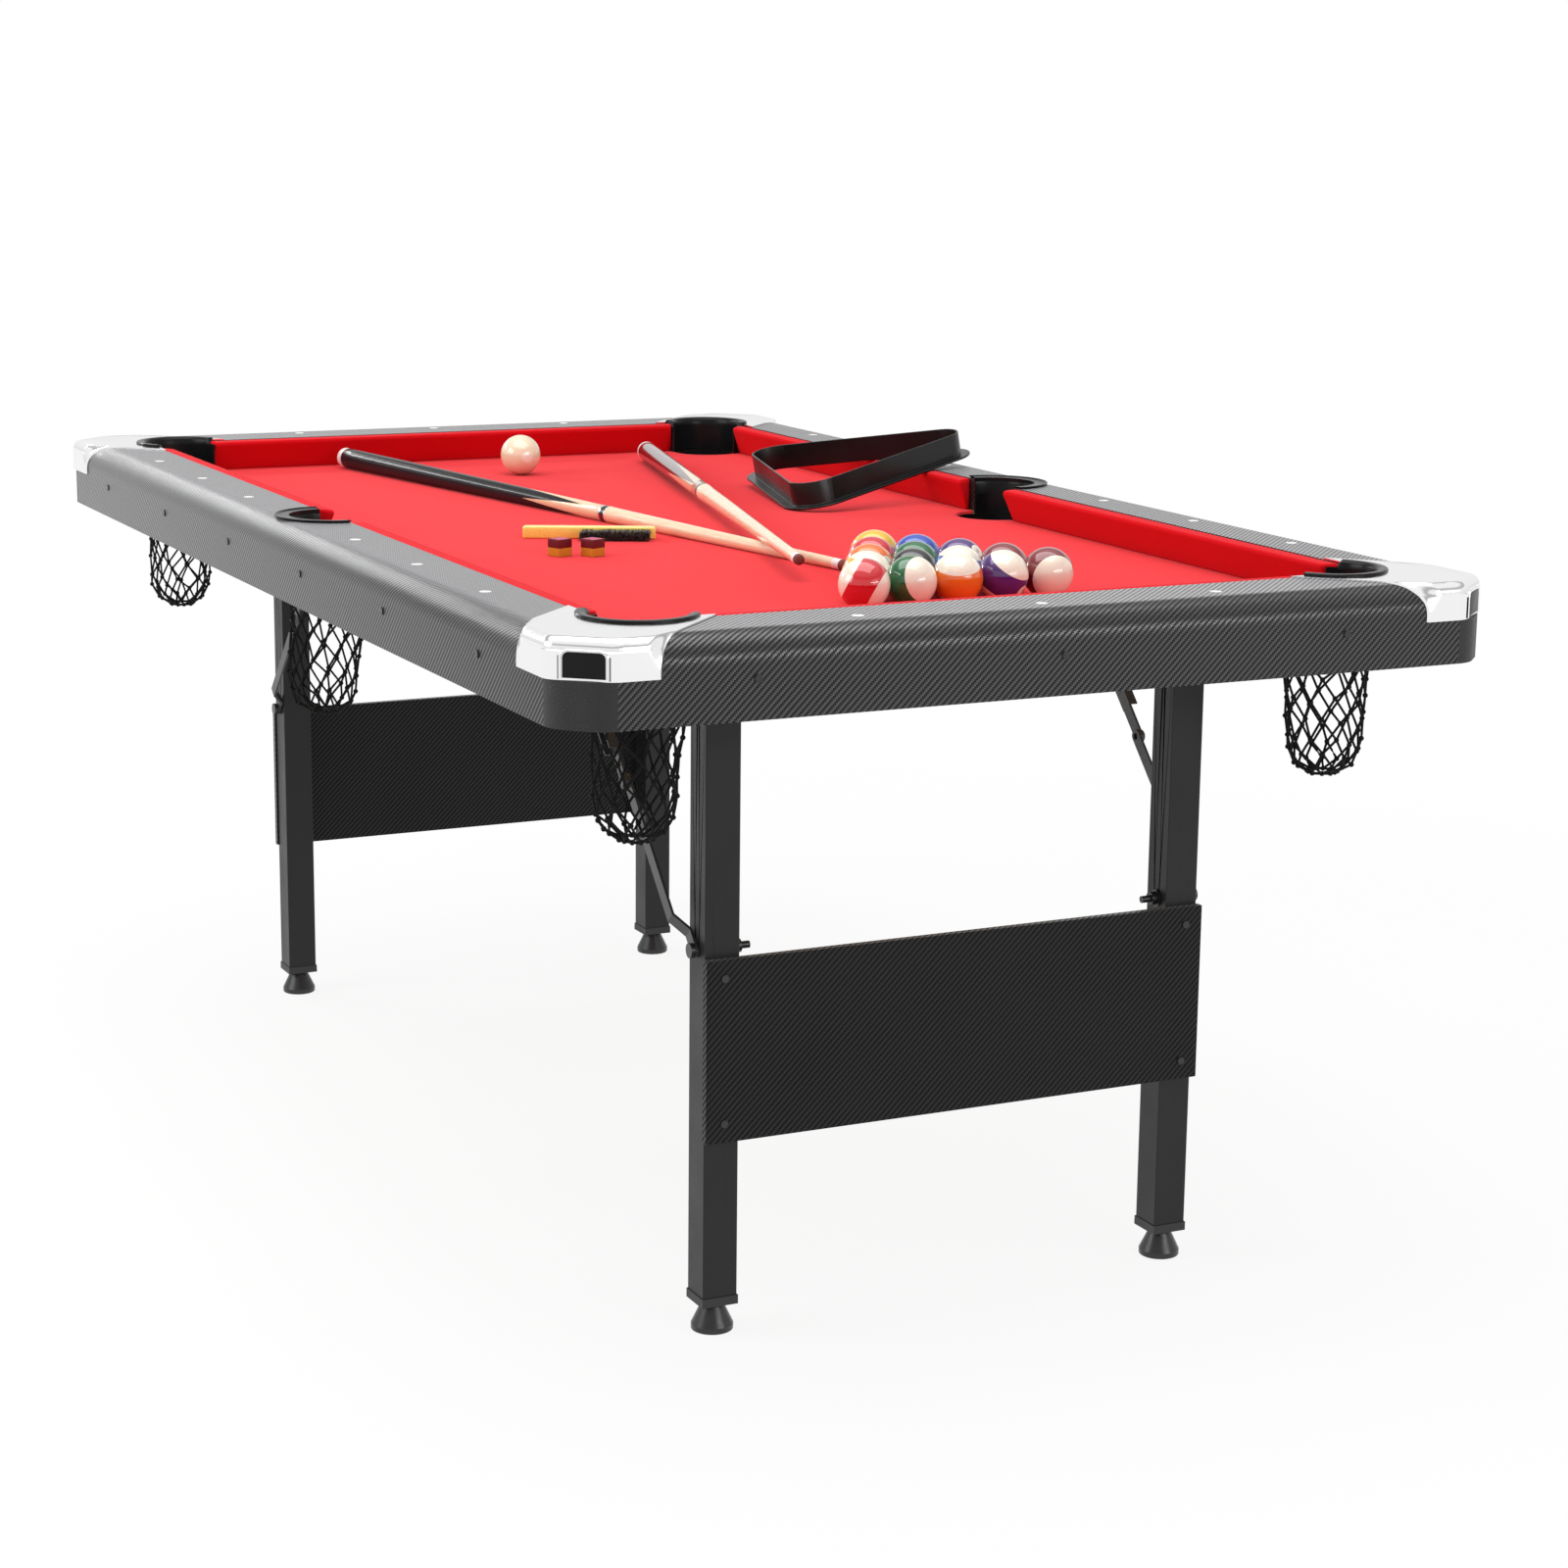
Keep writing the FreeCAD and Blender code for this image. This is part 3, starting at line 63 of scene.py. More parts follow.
class Shader:
    """A node material that is built one node at a time."""

    def __init__(self, name):
        self.material = bpy.data.materials.new(name)
        self.material.use_nodes = True
        self.tree = self.material.node_tree
        self.surface = self.tree.nodes["Principled BSDF"]
        self.coordinates = self.tree.nodes.new("ShaderNodeTexCoord")

    def feed(self, socket, value):
        if isinstance(value, bpy.types.NodeSocket):
            self.tree.links.new(value, socket)
        else:
            socket.default_value = value

    def math(self, operation, first, second=0.0, third=0.0):
        item = self.tree.nodes.new("ShaderNodeMath")
        item.operation = operation
        for socket, value in zip(item.inputs, (first, second, third)):
            self.feed(socket, value)
        return item.outputs[0]

    def place(self):
        """The three object coordinates, in metres."""
        item = self.tree.nodes.new("ShaderNodeSeparateXYZ")
        self.tree.links.new(self.coordinates.outputs["Object"], item.inputs[0])
        return item.outputs

    def noise(self, scale, detail=3.0, stretch=(1, 1, 1)):
        mapping = self.tree.nodes.new("ShaderNodeMapping")
        mapping.inputs["Scale"].default_value = stretch
        self.tree.links.new(self.coordinates.outputs["Object"], mapping.inputs["Vector"])
        item = self.tree.nodes.new("ShaderNodeTexNoise")
        item.inputs["Scale"].default_value = scale
        item.inputs["Detail"].default_value = detail
        self.tree.links.new(mapping.outputs[0], item.inputs["Vector"])
        return item.outputs["Fac"]

    def spread(self, value, low, high, new_low, new_high):
        item = self.tree.nodes.new("ShaderNodeMapRange")
        for socket, number in zip(item.inputs, (value, low, high, new_low, new_high)):
            self.feed(socket, number)
        return item.outputs[0]

    def mix(self, share, first, second):
        item = self.tree.nodes.new("ShaderNodeMix")
        item.data_type = "RGBA"
        for index, value in ((0, share), (6, first), (7, second)):
            self.feed(item.inputs[index], value)
        return item.outputs[2]

    def facing(self):
        """0 where the surface is seen straight on, 1 where it is seen edge on."""
        item = self.tree.nodes.new("ShaderNodeLayerWeight")
        item.inputs["Blend"].default_value = 0.5
        return item.outputs["Facing"]

    def upward(self):
        """1 on a level top and 0 on an upright wall."""
        item = self.tree.nodes.new("ShaderNodeNewGeometry")
        parts = self.tree.nodes.new("ShaderNodeSeparateXYZ")
        self.tree.links.new(item.outputs["Normal"], parts.inputs[0])
        return parts.outputs[2]

    def bump(self, height, distance, strength=1.0):
        item = self.tree.nodes.new("ShaderNodeBump")
        item.inputs["Strength"].default_value = strength
        item.inputs["Distance"].default_value = distance
        self.tree.links.new(height, item.inputs["Height"])
        self.tree.links.new(item.outputs[0], self.surface.inputs["Normal"])

    def set(self, **values):
        """Surface inputs by name, with an underscore for each space."""
        for name, value in values.items():
            self.feed(self.surface.inputs[name.replace("_", " ")], value)
        return self.material


def rgb(red, green, blue):
    return (red, green, blue, 1.0)


def moulded(name, colour, roughness, grain, depth, shine=0.5, worn=0.35):
    """Plastic or paint with a fine moulded grain and slightly uneven gloss."""
    shader = Shader(name)
    broad = shader.noise(14.0)
    fine = shader.noise(grain, 2.0)
    lighter = rgb(*[min(1.0, value * (1 + worn) + 0.004) for value in colour])
    shader.bump(fine, depth)
    return shader.set(Base_Color=shader.mix(broad, rgb(*colour), lighter), Specular_IOR_Level=shine,
                      Roughness=shader.spread(broad, 0.3, 0.7, roughness - 0.06, roughness + 0.08))


def laminate(name, along, out, pale_tow, shine, roughness):
    """Embossed twill film: slanting tows over a fine weave, with a painted reflection that turns it
    paler where seen edge on.
    """
    shader = Shader(name)
    place = shader.place()
    cell = 1.9 * MM                     # one crossing of the weave
    across = shader.math("DIVIDE", place[along], cell)
    rise = shader.math("SUBTRACT", place["Z"], shader.math("ABSOLUTE", place[out]))
    up = shader.math("DIVIDE", rise, cell)
    step = shader.math("SUBTRACT", shader.math("FLOOR", across), shader.math("FLOOR", up))
    over = shader.math("LESS_THAN", shader.math("FLOORED_MODULO", step, 4.0), 1.5)
    slant = shader.math("FRACT", shader.math("DIVIDE", shader.math("SUBTRACT", across, up), 4.0))
    ridge = shader.math("SINE", shader.math("MULTIPLY", slant, math.pi))
    humps = [shader.math("SINE", shader.math("MULTIPLY", shader.math("FRACT", part), math.pi))
             for part in (across, up)]
    weave = shader.math("MULTIPLY", humps[0], humps[1])
    shader.bump(shader.math("MULTIPLY_ADD", ridge, 1.6, weave), 0.00004, 1.0)
    wear = shader.noise(9.0)
    lit = shader.math("MULTIPLY", ridge, over)
    tow = shader.mix(lit, rgb(0.004, 0.004, 0.004), rgb(pale_tow, pale_tow, pale_tow * 1.04))
    tow = shader.mix(shader.spread(wear, 0.3, 0.75, 0.0, 0.12), tow, rgb(0.030, 0.030, 0.031))
    # Painted reflection: where the surface is seen edge on, the colour turns toward a pale grey
    # weave in place of the lamps' glare.
    pale = shader.mix(lit, rgb(0.16, 0.16, 0.165), rgb(0.50, 0.50, 0.51))
    painted_glare_share = shader.spread(shader.facing(), 0.64, 0.80, 0.0, 0.75)
    return shader.set(Base_Color=shader.mix(painted_glare_share, tow, pale),
                      Roughness=shader.spread(over, 0.0, 1.0, 0.50, roughness),
                      Specular_IOR_Level=shader.spread(over, 0.0, 1.0, shine * 0.35, shine))


def felt(name, colour, deeper, sheen, level):
    """Napped cloth: short fibres, soft sheen, slow changes of shade, and level tops painted paler
    as painted light.
    """
    shader = Shader(name)
    slow = shader.noise(5.0, 4.0)
    fibre = shader.noise(2600.0, 2.0, (1.0, 1.6, 1.0))
    nap = shader.noise(420.0, 4.0)
    shade = shader.mix(shader.spread(slow, 0.3, 0.7, 0.0, 0.35), colour, deeper)
    shade = shader.mix(shader.spread(nap, 0.35, 0.7, 0.0, 0.28), shade, deeper)
    # Painted light: faces that look up turn toward the level colour, so a cushion's top reads as
    # lit as the bed.
    shade = shader.mix(shader.spread(shader.upward(), 0.80, 0.97, 0.0, 0.9), shade, level)
    shader.bump(shader.math("ADD", fibre, nap), 0.00016, 0.7)
    return shader.set(Base_Color=shade, Roughness=0.95, Sheen_Weight=sheen, Sheen_Roughness=0.5,
                      Sheen_Tint=rgb(1.0, 0.45, 0.45), Specular_IOR_Level=0.15)


def plated(name, colour, roughness):
    """Bright plating with faint polishing waves."""
    shader = Shader(name)
    shader.bump(shader.noise(60.0, 2.0), 0.0002, 0.25)
    smear = shader.noise(25.0, 4.0)
    return shader.set(Base_Color=rgb(*colour), Metallic=1.0,
                      Roughness=shader.spread(smear, 0.3, 0.7, roughness * 0.7, roughness * 1.5))


def board(name):
    """Raw fibreboard: pale brown, flecked and slightly furry at its edges."""
    shader = Shader(name)
    flecks = shader.noise(700.0, 5.0)
    bands = shader.noise(40.0, 3.0)
    shader.bump(flecks, 0.0002, 0.5)
    tone = shader.mix(flecks, rgb(0.24, 0.15, 0.08), rgb(0.50, 0.36, 0.22))
    return shader.set(Base_Color=shader.mix(shader.spread(bands, 0.3, 0.7, 0.0, 0.3), tone,
                                            rgb(0.33, 0.23, 0.14)), Roughness=0.85)


def cord(name):
    """Black twisted cord."""
    shader = Shader(name)
    fibre = shader.noise(1800.0, 3.0)
    shader.bump(fibre, 0.0003, 0.8)
    tone = shader.mix(fibre, rgb(0.002, 0.002, 0.002), rgb(0.012, 0.012, 0.012))
    return shader.set(Base_Color=tone, Roughness=0.8, Specular_IOR_Level=0.15)


def timber(name, pale, dark, shine=0.25, stretch=(70, 70, 2.5)):
    """Lacquered wood whose grain runs along local Z."""
    shader = Shader(name)
    grain = shader.noise(14.0, 6.0, stretch)
    pores = shader.noise(60.0, 3.0, stretch)
    tone = shader.mix(shader.spread(grain, 0.35, 0.68, 0.0, 1.0), pale, dark)
    shader.bump(pores, 0.00005, 0.4)
    return shader.set(Base_Color=tone, Roughness=shine, Coat_Weight=0.5, Coat_Roughness=0.08)


def resin(name, colour, striped):
    """A polished ball: local Z is the stripe's axis and local X points at the number."""
    shader = Shader(name)
    place = shader.place()
    white = rgb(0.86, 0.80, 0.66)
    mottle = shader.noise(120.0, 3.0)
    tone = rgb(*colour)
    if striped:
        edge = shader.math("ABSOLUTE", place["Z"])
        tone = shader.mix(shader.math("GREATER_THAN", edge, STRIPE), tone, white)
    disc_edge = math.sqrt(BALL ** 2 - DISC ** 2)
    tone = shader.mix(shader.math("GREATER_THAN", place["X"], disc_edge), tone, white)
    return shader.set(Base_Color=tone, Coat_Weight=0.6, Coat_Roughness=0.03,
                      Roughness=shader.spread(mottle, 0.3, 0.7, 0.08, 0.14))


BED_RED = rgb(0.71, 0.027, 0.034)
# The cushions' cloth is the bed's cloth painted deeper red as painted shade, with level tops
# painted back near the bed's tone as painted light.
cushion_felt_painted_shade = felt("cushion_felt_painted_shade", rgb(0.60, 0.0010, 0.006), rgb(0.48, 0.0006, 0.004), 0.02,
                    rgb(0.62, 0.020, 0.027))
# Three copies of one twill film whose pale tow levels are painted light: the ends are painted
# lighter, and the panels are painted darker as painted shade.
twill_side = laminate("twill_side", "X", "Y", 0.055, 0.60, 0.32)
twill_end_painted_lighter = laminate("twill_end_painted_lighter", "Y", "X", 0.105, 0.60, 0.23)
twill_panel_painted_darker = laminate("twill_panel_painted_darker", "Y", "X", 0.026, 0.25, 0.30)
MATERIALS = {
    "fibreboard": board("fibreboard"),
    "red_cloth": felt("red_felt", BED_RED, rgb(0.60, 0.017, 0.023), 0.14, BED_RED),
    "chrome_plate": plated("chrome_plate", (0.88, 0.88, 0.89), 0.12),
    "net_cord": cord("net_cord"),
    "cue_ball_resin": resin("cue_ball_resin", (0.78, 0.66, 0.46), False),
}
# Colour, roughness, grain, depth of the grain in metres, then shine and wear where they differ.
MOULDED = {
    "grained_plastic": ((0.008, 0.008, 0.0085), 0.45, 650.0, 0.0011, 0.4),
    "black_gloss": ((0.006, 0.006, 0.006), 0.3, 300.0, 0.00002, 0.12),
    "liner_plastic": ((0.003, 0.003, 0.0035), 0.26, 700.0, 0.00003, 0.14),
    "white_sight": ((0.80, 0.80, 0.78), 0.25, 200.0, 0.00002, 0.5, 0.1),
    "black_fastener": ((0.012, 0.012, 0.013), 0.25, 1200.0, 0.00004),
    "brace_steel": ((0.028, 0.028, 0.030), 0.34, 800.0, 0.00006),
    "powder_coat": ((0.010, 0.010, 0.0105), 0.38, 1300.0, 0.00010, 0.28),
    "cap_plastic": ((0.010, 0.010, 0.010), 0.5, 900.0, 0.00012),
    "foot_plastic": ((0.010, 0.010, 0.011), 0.32, 900.0, 0.00006),
    "rack_plastic": ((0.003, 0.003, 0.003), 0.28, 900.0, 0.00008, 0.3),
    "bristle": ((0.008, 0.008, 0.008), 0.45, 2500.0, 0.0003),
    "chalk_wrapper": ((0.25, 0.02, 0.03), 0.4, 600.0, 0.00004),
    "chalk_face": ((0.42, 0.10, 0.16), 0.95, 1500.0, 0.0004),
    "ball_ink": ((0.01, 0.01, 0.01), 0.2, 300.0, 0.00001),
    "cue_bumper": ((0.72, 0.70, 0.68), 0.35, 500.0, 0.00003, 0.5, 0.1),
    "cue_collar": ((0.012, 0.012, 0.012), 0.2, 400.0, 0.00002),
    "cue_leather": ((0.15, 0.04, 0.035), 0.75, 1800.0, 0.0002, 0.2),
}
MATERIALS.update({name: moulded(name, *numbers) for name, numbers in MOULDED.items()})
SLOT_OF = {row["node"]: row["material_slot"] for row in frame["record"]["subparts"]}

for node, obj in frame["nodes"].items():
    material = MATERIALS.get(SLOT_OF[node])
    if SLOT_OF[node] == "twill_laminate":
        material = twill_side if node.startswith("side") else twill_end_painted_lighter
        if "panel" in node:
            material = twill_panel_painted_darker
    if material:
        for index in range(len(obj.material_slots)):
            obj.material_slots[index].material = material


def soften(node, width):
    """Rounds a hard piece's edges with modifiers; the mesh itself stays as it is."""
    obj = frame["nodes"][node]
    weld = obj.modifiers.new("weld", "WELD")
    weld.merge_threshold = 0.00001
    bevel = obj.modifiers.new("bevel", "BEVEL")
    bevel.width = width * MM
    bevel.segments = 3
    bevel.limit_method = "ANGLE"
    bevel.angle_limit = math.radians(35.0)
    bevel.harden_normals = True


# ---- mesh helpers

def piece(name, points, faces, material, body, replaced=(), sharp=35.0):
    """A mesh that rides on a body; points are in metres."""
    mesh = bpy.data.meshes.new(name)
    mesh.from_pydata([tuple(point) for point in points], [], faces)
    work = bmesh.new()
    work.from_mesh(mesh)
    bmesh.ops.remove_doubles(work, verts=work.verts, dist=0.000001)
    bmesh.ops.recalc_face_normals(work, faces=work.faces)
    work.to_mesh(mesh)
    work.free()
    for polygon in mesh.polygons:
        polygon.use_smooth = True
    mesh.set_sharp_from_angle(angle=math.radians(sharp))
    obj = bpy.data.objects.new(name, mesh)
    bpy.context.scene.collection.objects.link(obj)
    mesh.materials.append(material)
    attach(obj, body)
    if replaced:
        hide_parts(*replaced)
    return obj


def top_piece(name, points, faces, slot, node, sharp=35.0):
    """A piece of the table top, in the finish of its slot, that stands for a CAD node."""
    return piece(name, points, faces, MATERIALS[slot], "table_top", (node,), sharp)


def loft(rings, closed_path=False):
    """Points and faces that join closed rings of equal length, with caps on an open path."""
    count = len(rings[0])
    points = [point for ring in rings for point in ring]
    faces = []
    for row in range(len(rings) if closed_path else len(rings) - 1):
        low, high = row * count, ((row + 1) % len(rings)) * count
        for column in range(count):
            nearby = (column + 1) % count
            faces.append((low + column, low + nearby, high + nearby, high + column))
    if not closed_path:
        faces.append(tuple(range(count)))
        faces.append(tuple(range((len(rings) - 1) * count, len(rings) * count)))
    return points, faces


def tube(points, radius, sides=6):
    """A round cord through the given points."""
    rings = []
    last = len(points) - 1
    for index, point in enumerate(points):
        ahead = points[min(index + 1, last)] - points[max(index - 1, 0)]
        first = ahead.orthogonal().normalized()
        second = ahead.cross(first).normalized()
        rings.append([point + radius * (math.cos(turn) * first + math.sin(turn) * second)
                      for turn in [2 * math.pi * side / sides for side in range(sides)]])
    return loft(rings)


def gather(parts):
    """One list of points and one of faces from several."""
    points, faces = [], []
    for more_points, more_faces in parts:
        start = len(points)
        points += more_points
        faces += [tuple(start + index for index in face) for face in more_faces]
    return points, faces


# ---- cloth and cushions

bed_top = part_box("playfield_cloth")[1].z
BED_LONG, BED_WIDE = 0.855, 0.455       # half the opening between the rails
THROAT = 50 * MM                        # radius of a pocket's hole
POCKET_LONG, POCKET_WIDE = 0.825, 0.412  # a corner pocket's centre
POCKETS = {name: Vector((POCKET_LONG * sx, POCKET_WIDE * sy, 0))
           for name, (sx, sy) in CORNERS.items()}
POCKETS.update({f"middle_{name}": Vector((0, BED_WIDE * sy, 0)) for name, sy in SIDES.items()})


def bed_cloth():
    """The stretched bed cloth, cut round the pockets and turned down into them."""
    half_x, half_y = 0.8545, 0.4545
    hole = THROAT + 0.4 * MM
    step = 11 * MM
    outline = []
    count_x = round(2 * half_x / step)
    count_y = round(2 * half_y / step)
    for index in range(count_x):
        outline.append(Vector((-half_x + 2 * half_x * index / count_x, -half_y)))
    for index in range(count_y):
        outline.append(Vector((half_x, -half_y + 2 * half_y * index / count_y)))
    outline += [-point for point in outline]
    centres = [Vector((centre.x, centre.y)) for centre in POCKETS.values()]

    def inside(point, margin):
        return all((point - centre).length > hole + margin for centre in centres)

    points = [point for point in outline if inside(point, 0.2 * MM)]
    for centre in centres:
        for index in range(96):
            turn = 2 * math.pi * index / 96
            rim = centre + hole * Vector((math.cos(turn), math.sin(turn)))
            if abs(rim.x) <= half_x and abs(rim.y) <= half_y:
                points.append(rim)
    for column in range(1, count_x):
        for row in range(1, count_y):
            point = Vector((-half_x + 2 * half_x * column / count_x,
                            -half_y + 2 * half_y * row / count_y))
            if inside(point, 3 * MM):
                points.append(point)
    flat, _, triangles = delaunay_2d_cdt(points, [], [], 0, 0.000001)[:3]
    kept = [tri for tri in triangles
            if inside(sum((flat[index] for index in tri), Vector((0, 0))) / 3, -0.05 * MM)]
    rng = random.Random(4)
    rounded = [Vector((point.x, point.y, bed_top - 0.00002 * rng.random())) for point in flat]
    obj = top_piece("bed_cloth", rounded, kept, "red_cloth", "playfield_cloth")
    work = bmesh.new()
    work.from_mesh(obj.data)
    rim = [edge for edge in work.edges if edge.is_boundary]
    for drop, inward in ((0.5, 0.5), (1.2, 0.25), (4.0, 0.0)):
        made = bmesh.ops.extrude_edge_only(work, edges=rim)["geom"]
        rim = [item for item in made if isinstance(item, bmesh.types.BMEdge) and item.is_boundary]
        for vertex in {vertex for edge in rim for vertex in edge.verts}:
            flat_place = Vector((vertex.co.x, vertex.co.y))
            nearest = min(centres, key=lambda centre: (flat_place - centre).length)
            if (flat_place - nearest).length < hole + 1 * MM:
                pull = (nearest - flat_place).normalized() * inward * MM
                vertex.co.x += pull.x
                vertex.co.y += pull.y
            vertex.co.z = bed_top - drop * MM
    bmesh.ops.recalc_face_normals(work, faces=work.faces)
    work.to_mesh(obj.data)
    work.free()
    for polygon in obj.data.polygons:
        polygon.use_smooth = True


def cushion(name, node, wide, sides, spans, swap):
    """A rubber cushion under cloth: nose, undercut face and rounded ends.

    wide is the distance from the middle of the table to the rail; spans holds, for each
    end, the place at the rail and the place at the nose; swap turns it along the ends."""
    inner = wide - 0.2 * MM
    deep = 21 * MM
    profile = [(0.0, 0.4), (6.3, 0.4), (9.4, 8.0), (13.3, 18.0), (17.0, 27.5), (20.1, 34.0)]
    for turn in range(-20, 100, 20):
        profile.append((17.6 + 3.3 * math.cos(math.radians(turn)),
                        36.9 + 3.9 * math.sin(math.radians(turn))))
    profile += [(13.0, 41.5), (8.0, 41.9), (3.0, 41.6), (0.8, 40.9), (0.0, 39.0)]
    section = [Vector((out * MM, up * MM)) for out, up in profile]
    middle = Vector((10 * MM, 24 * MM))
    (low_rail, low_nose), (high_rail, high_nose) = spans
    rings = []
    bulge = 5 * MM
    stations = [(0.0, 1), (0.12, 1), (0.35, 1), (0.68, 1), (1.0, 1)]
    stations += [(share, 0) for share in np.linspace(0.0, 1.0, 41)[1:-1]]
    stations += [(1.0, 2), (0.68, 2), (0.35, 2), (0.12, 2), (0.0, 2)]
    for share, part in stations:
        ring = []
        for point in section:
            start = low_rail + (low_nose - low_rail) * point.x / deep
            stop = high_rail + (high_nose - high_rail) * point.x / deep
            moved = point.copy()
            if part == 0:
                along = start + bulge + (stop - start - 2 * bulge) * share
            else:
                inset = 1 - math.sqrt(1 - (1 - share) ** 2)
                moved = middle + (point - middle) * (1 - 0.24 * inset)
                moved.x = max(moved.x, 0.0) if point.x < 1 * MM else moved.x
                along = start + bulge * share if part == 1 else stop - bulge * share
            across = sides * (inner - moved.x)
            up = bed_top + moved.y
            ring.append(Vector((across, along, up)) if swap else Vector((along, across, up)))
        rings.append(ring)
    points, faces = loft(rings)
    piece(name, points, faces, cushion_felt_painted_shade, "table_top", (node,), 50.0)


bed_cloth()
for side_name, sy in SIDES.items():
    for end_name, sx in ENDS.items():
        ends = [(0.064, 0.058), (0.788, 0.776)]
        if sx < 0:
            ends = [(-0.788, -0.776), (-0.064, -0.058)]
        cushion(f"cushion_{side_name}_{end_name}", f"side_cushions_{side_name}", BED_WIDE, sy,
                ends, False)
for end_name, sx in ENDS.items():
    cushion(f"cushion_end_{end_name}", "end_cushions", BED_LONG, sx,
            [(-0.3665, -0.358), (0.3665, 0.358)], True)


# ---- pocket liners

def spread_ring(centre, signs, section, turn):
    """A section of (radius, height) set round a pocket, for one quadrant of the table."""
    line = Vector((signs[0] * math.cos(turn), signs[1] * math.sin(turn), 0))
    return [centre + line * radius + Vector((0, 0, height)) for radius, height in section]


LINER_WALL = 3 * MM
SLEEVE_FOOT = 0.7221
LINER_LIP, FLANGE_FOOT = 0.7965, 0.8018     # heights of a bare lip and of a flange's underside


def sleeve(centre):
    """The round tube that a pocket keeps below the bed."""
    outer, top = THROAT + LINER_WALL, bed_top - 5 * MM
    section = ((THROAT, SLEEVE_FOOT), (outer, SLEEVE_FOOT), (outer, top), (THROAT, top))
    return loft([spread_ring(centre, (1, 1), section, 2 * math.pi * index / 64)
                 for index in range(64)], closed_path=True)


def ease(value, start, stop):
    """Runs smoothly from 0 at start to 1 at stop."""
    share = min(1.0, max(0.0, (value - start) / (stop - start)))
    return share * share * (3 - 2 * share)


def liner(name, node, centre, signs, turns, reach, shape):
    """A moulded pocket: wall, rolled rim and flange, and a sleeve below the bed.

    reach gives how much flange stands out at a turn, from 0 to 1; shape is the
    section's upper side as (share of the flange, height)."""
    outer = THROAT + LINER_WALL
    rings = []
    for turn in np.linspace(turns[0], turns[1], 90):
        full = reach(turn)
        out = LINER_WALL + full * (FLANGE[node] - outer)
        section = [(THROAT, bed_top - 4 * MM), (THROAT, LINER_LIP - 3 * MM)]
        section += [(THROAT + share * out, LINER_LIP + full * (height - LINER_LIP))
                    for share, height in shape]
        foot = LINER_LIP - 1 * MM + full * (FLANGE_FOOT - LINER_LIP + 1 * MM)
        section += [(THROAT + out, foot), (outer, foot), (outer, bed_top - 4 * MM)]
        rings.append(spread_ring(centre, signs, section, math.radians(turn)))
    points, faces = gather([loft(rings), sleeve(centre)])
    top_piece(name, points, faces, "liner_plastic", node, 40.0)


FLANGE = {"corner_pocket_liners": 62.5 * MM, "middle_pocket_liners": 70 * MM}
CORNER_RIM = [(0.03, 0.8012), (0.12, 0.8032), (0.35, 0.8046), (0.7, 0.8050), (0.93, 0.8046),
              (1.0, 0.8036)]
MIDDLE_RIM = [(0.04, 0.7968), (0.14, 0.7976), (0.5, 0.7998), (0.84, 0.8016), (0.88, 0.8028),
              (0.97, 0.8032), (1.0, 0.8024)]
for name, signs in CORNERS.items():
    liner(f"pocket_liner_{name}", "corner_pocket_liners", POCKETS[name], signs, (-80, 150),
          lambda turn: ease(turn, -67, -62) * ease(turn, 137, 132), CORNER_RIM)
for name, sy in SIDES.items():
    liner(f"pocket_liner_middle_{name}", "middle_pocket_liners", POCKETS[f"middle_{name}"],
          (1, sy), (0.4, 179.6), lambda turn: 1.0, MIDDLE_RIM)


# ---- corner castings

cast_low, cast_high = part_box("corner_castings")
CHAMFER_SIDE, CHAMFER_END = 0.917, 0.494        # where the corner face meets side and end
SIDE_CUT, END_CUT = 0.295, 0.515        # x - y along the casting's two cut edges


def curve(start, bend, stop, share):
    """A point on the curve from start to stop that bend pulls towards itself."""
    return start * (1 - share) ** 2 + 2 * bend * share * (1 - share) + stop * share ** 2


def bend_corners(corners, size):
    """A path through the corners, whose inner corners are rounded."""
    path = [corners[0]]
    for before, here, after in zip(corners, corners[1:], corners[2:]):
        start = here + (before - here).normalized() * size
        stop = here + (after - here).normalized() * size
        path += [curve(start, here, stop, share) for share in np.linspace(0, 1, 9)]
    return path + [corners[-1]]


def walk(path, count):
    """Evenly spaced points along a path."""
    lengths = np.cumsum([0] + [(b - a).length for a, b in zip(path, path[1:])])
    found = []
    for length in np.linspace(0, lengths[-1], count):
        index = min(max(int(np.searchsorted(lengths, length)), 1), len(path) - 1)
        share = (length - lengths[index - 1]) / (lengths[index] - lengths[index - 1])
        found.append(path[index - 1].lerp(path[index], share))
    return found


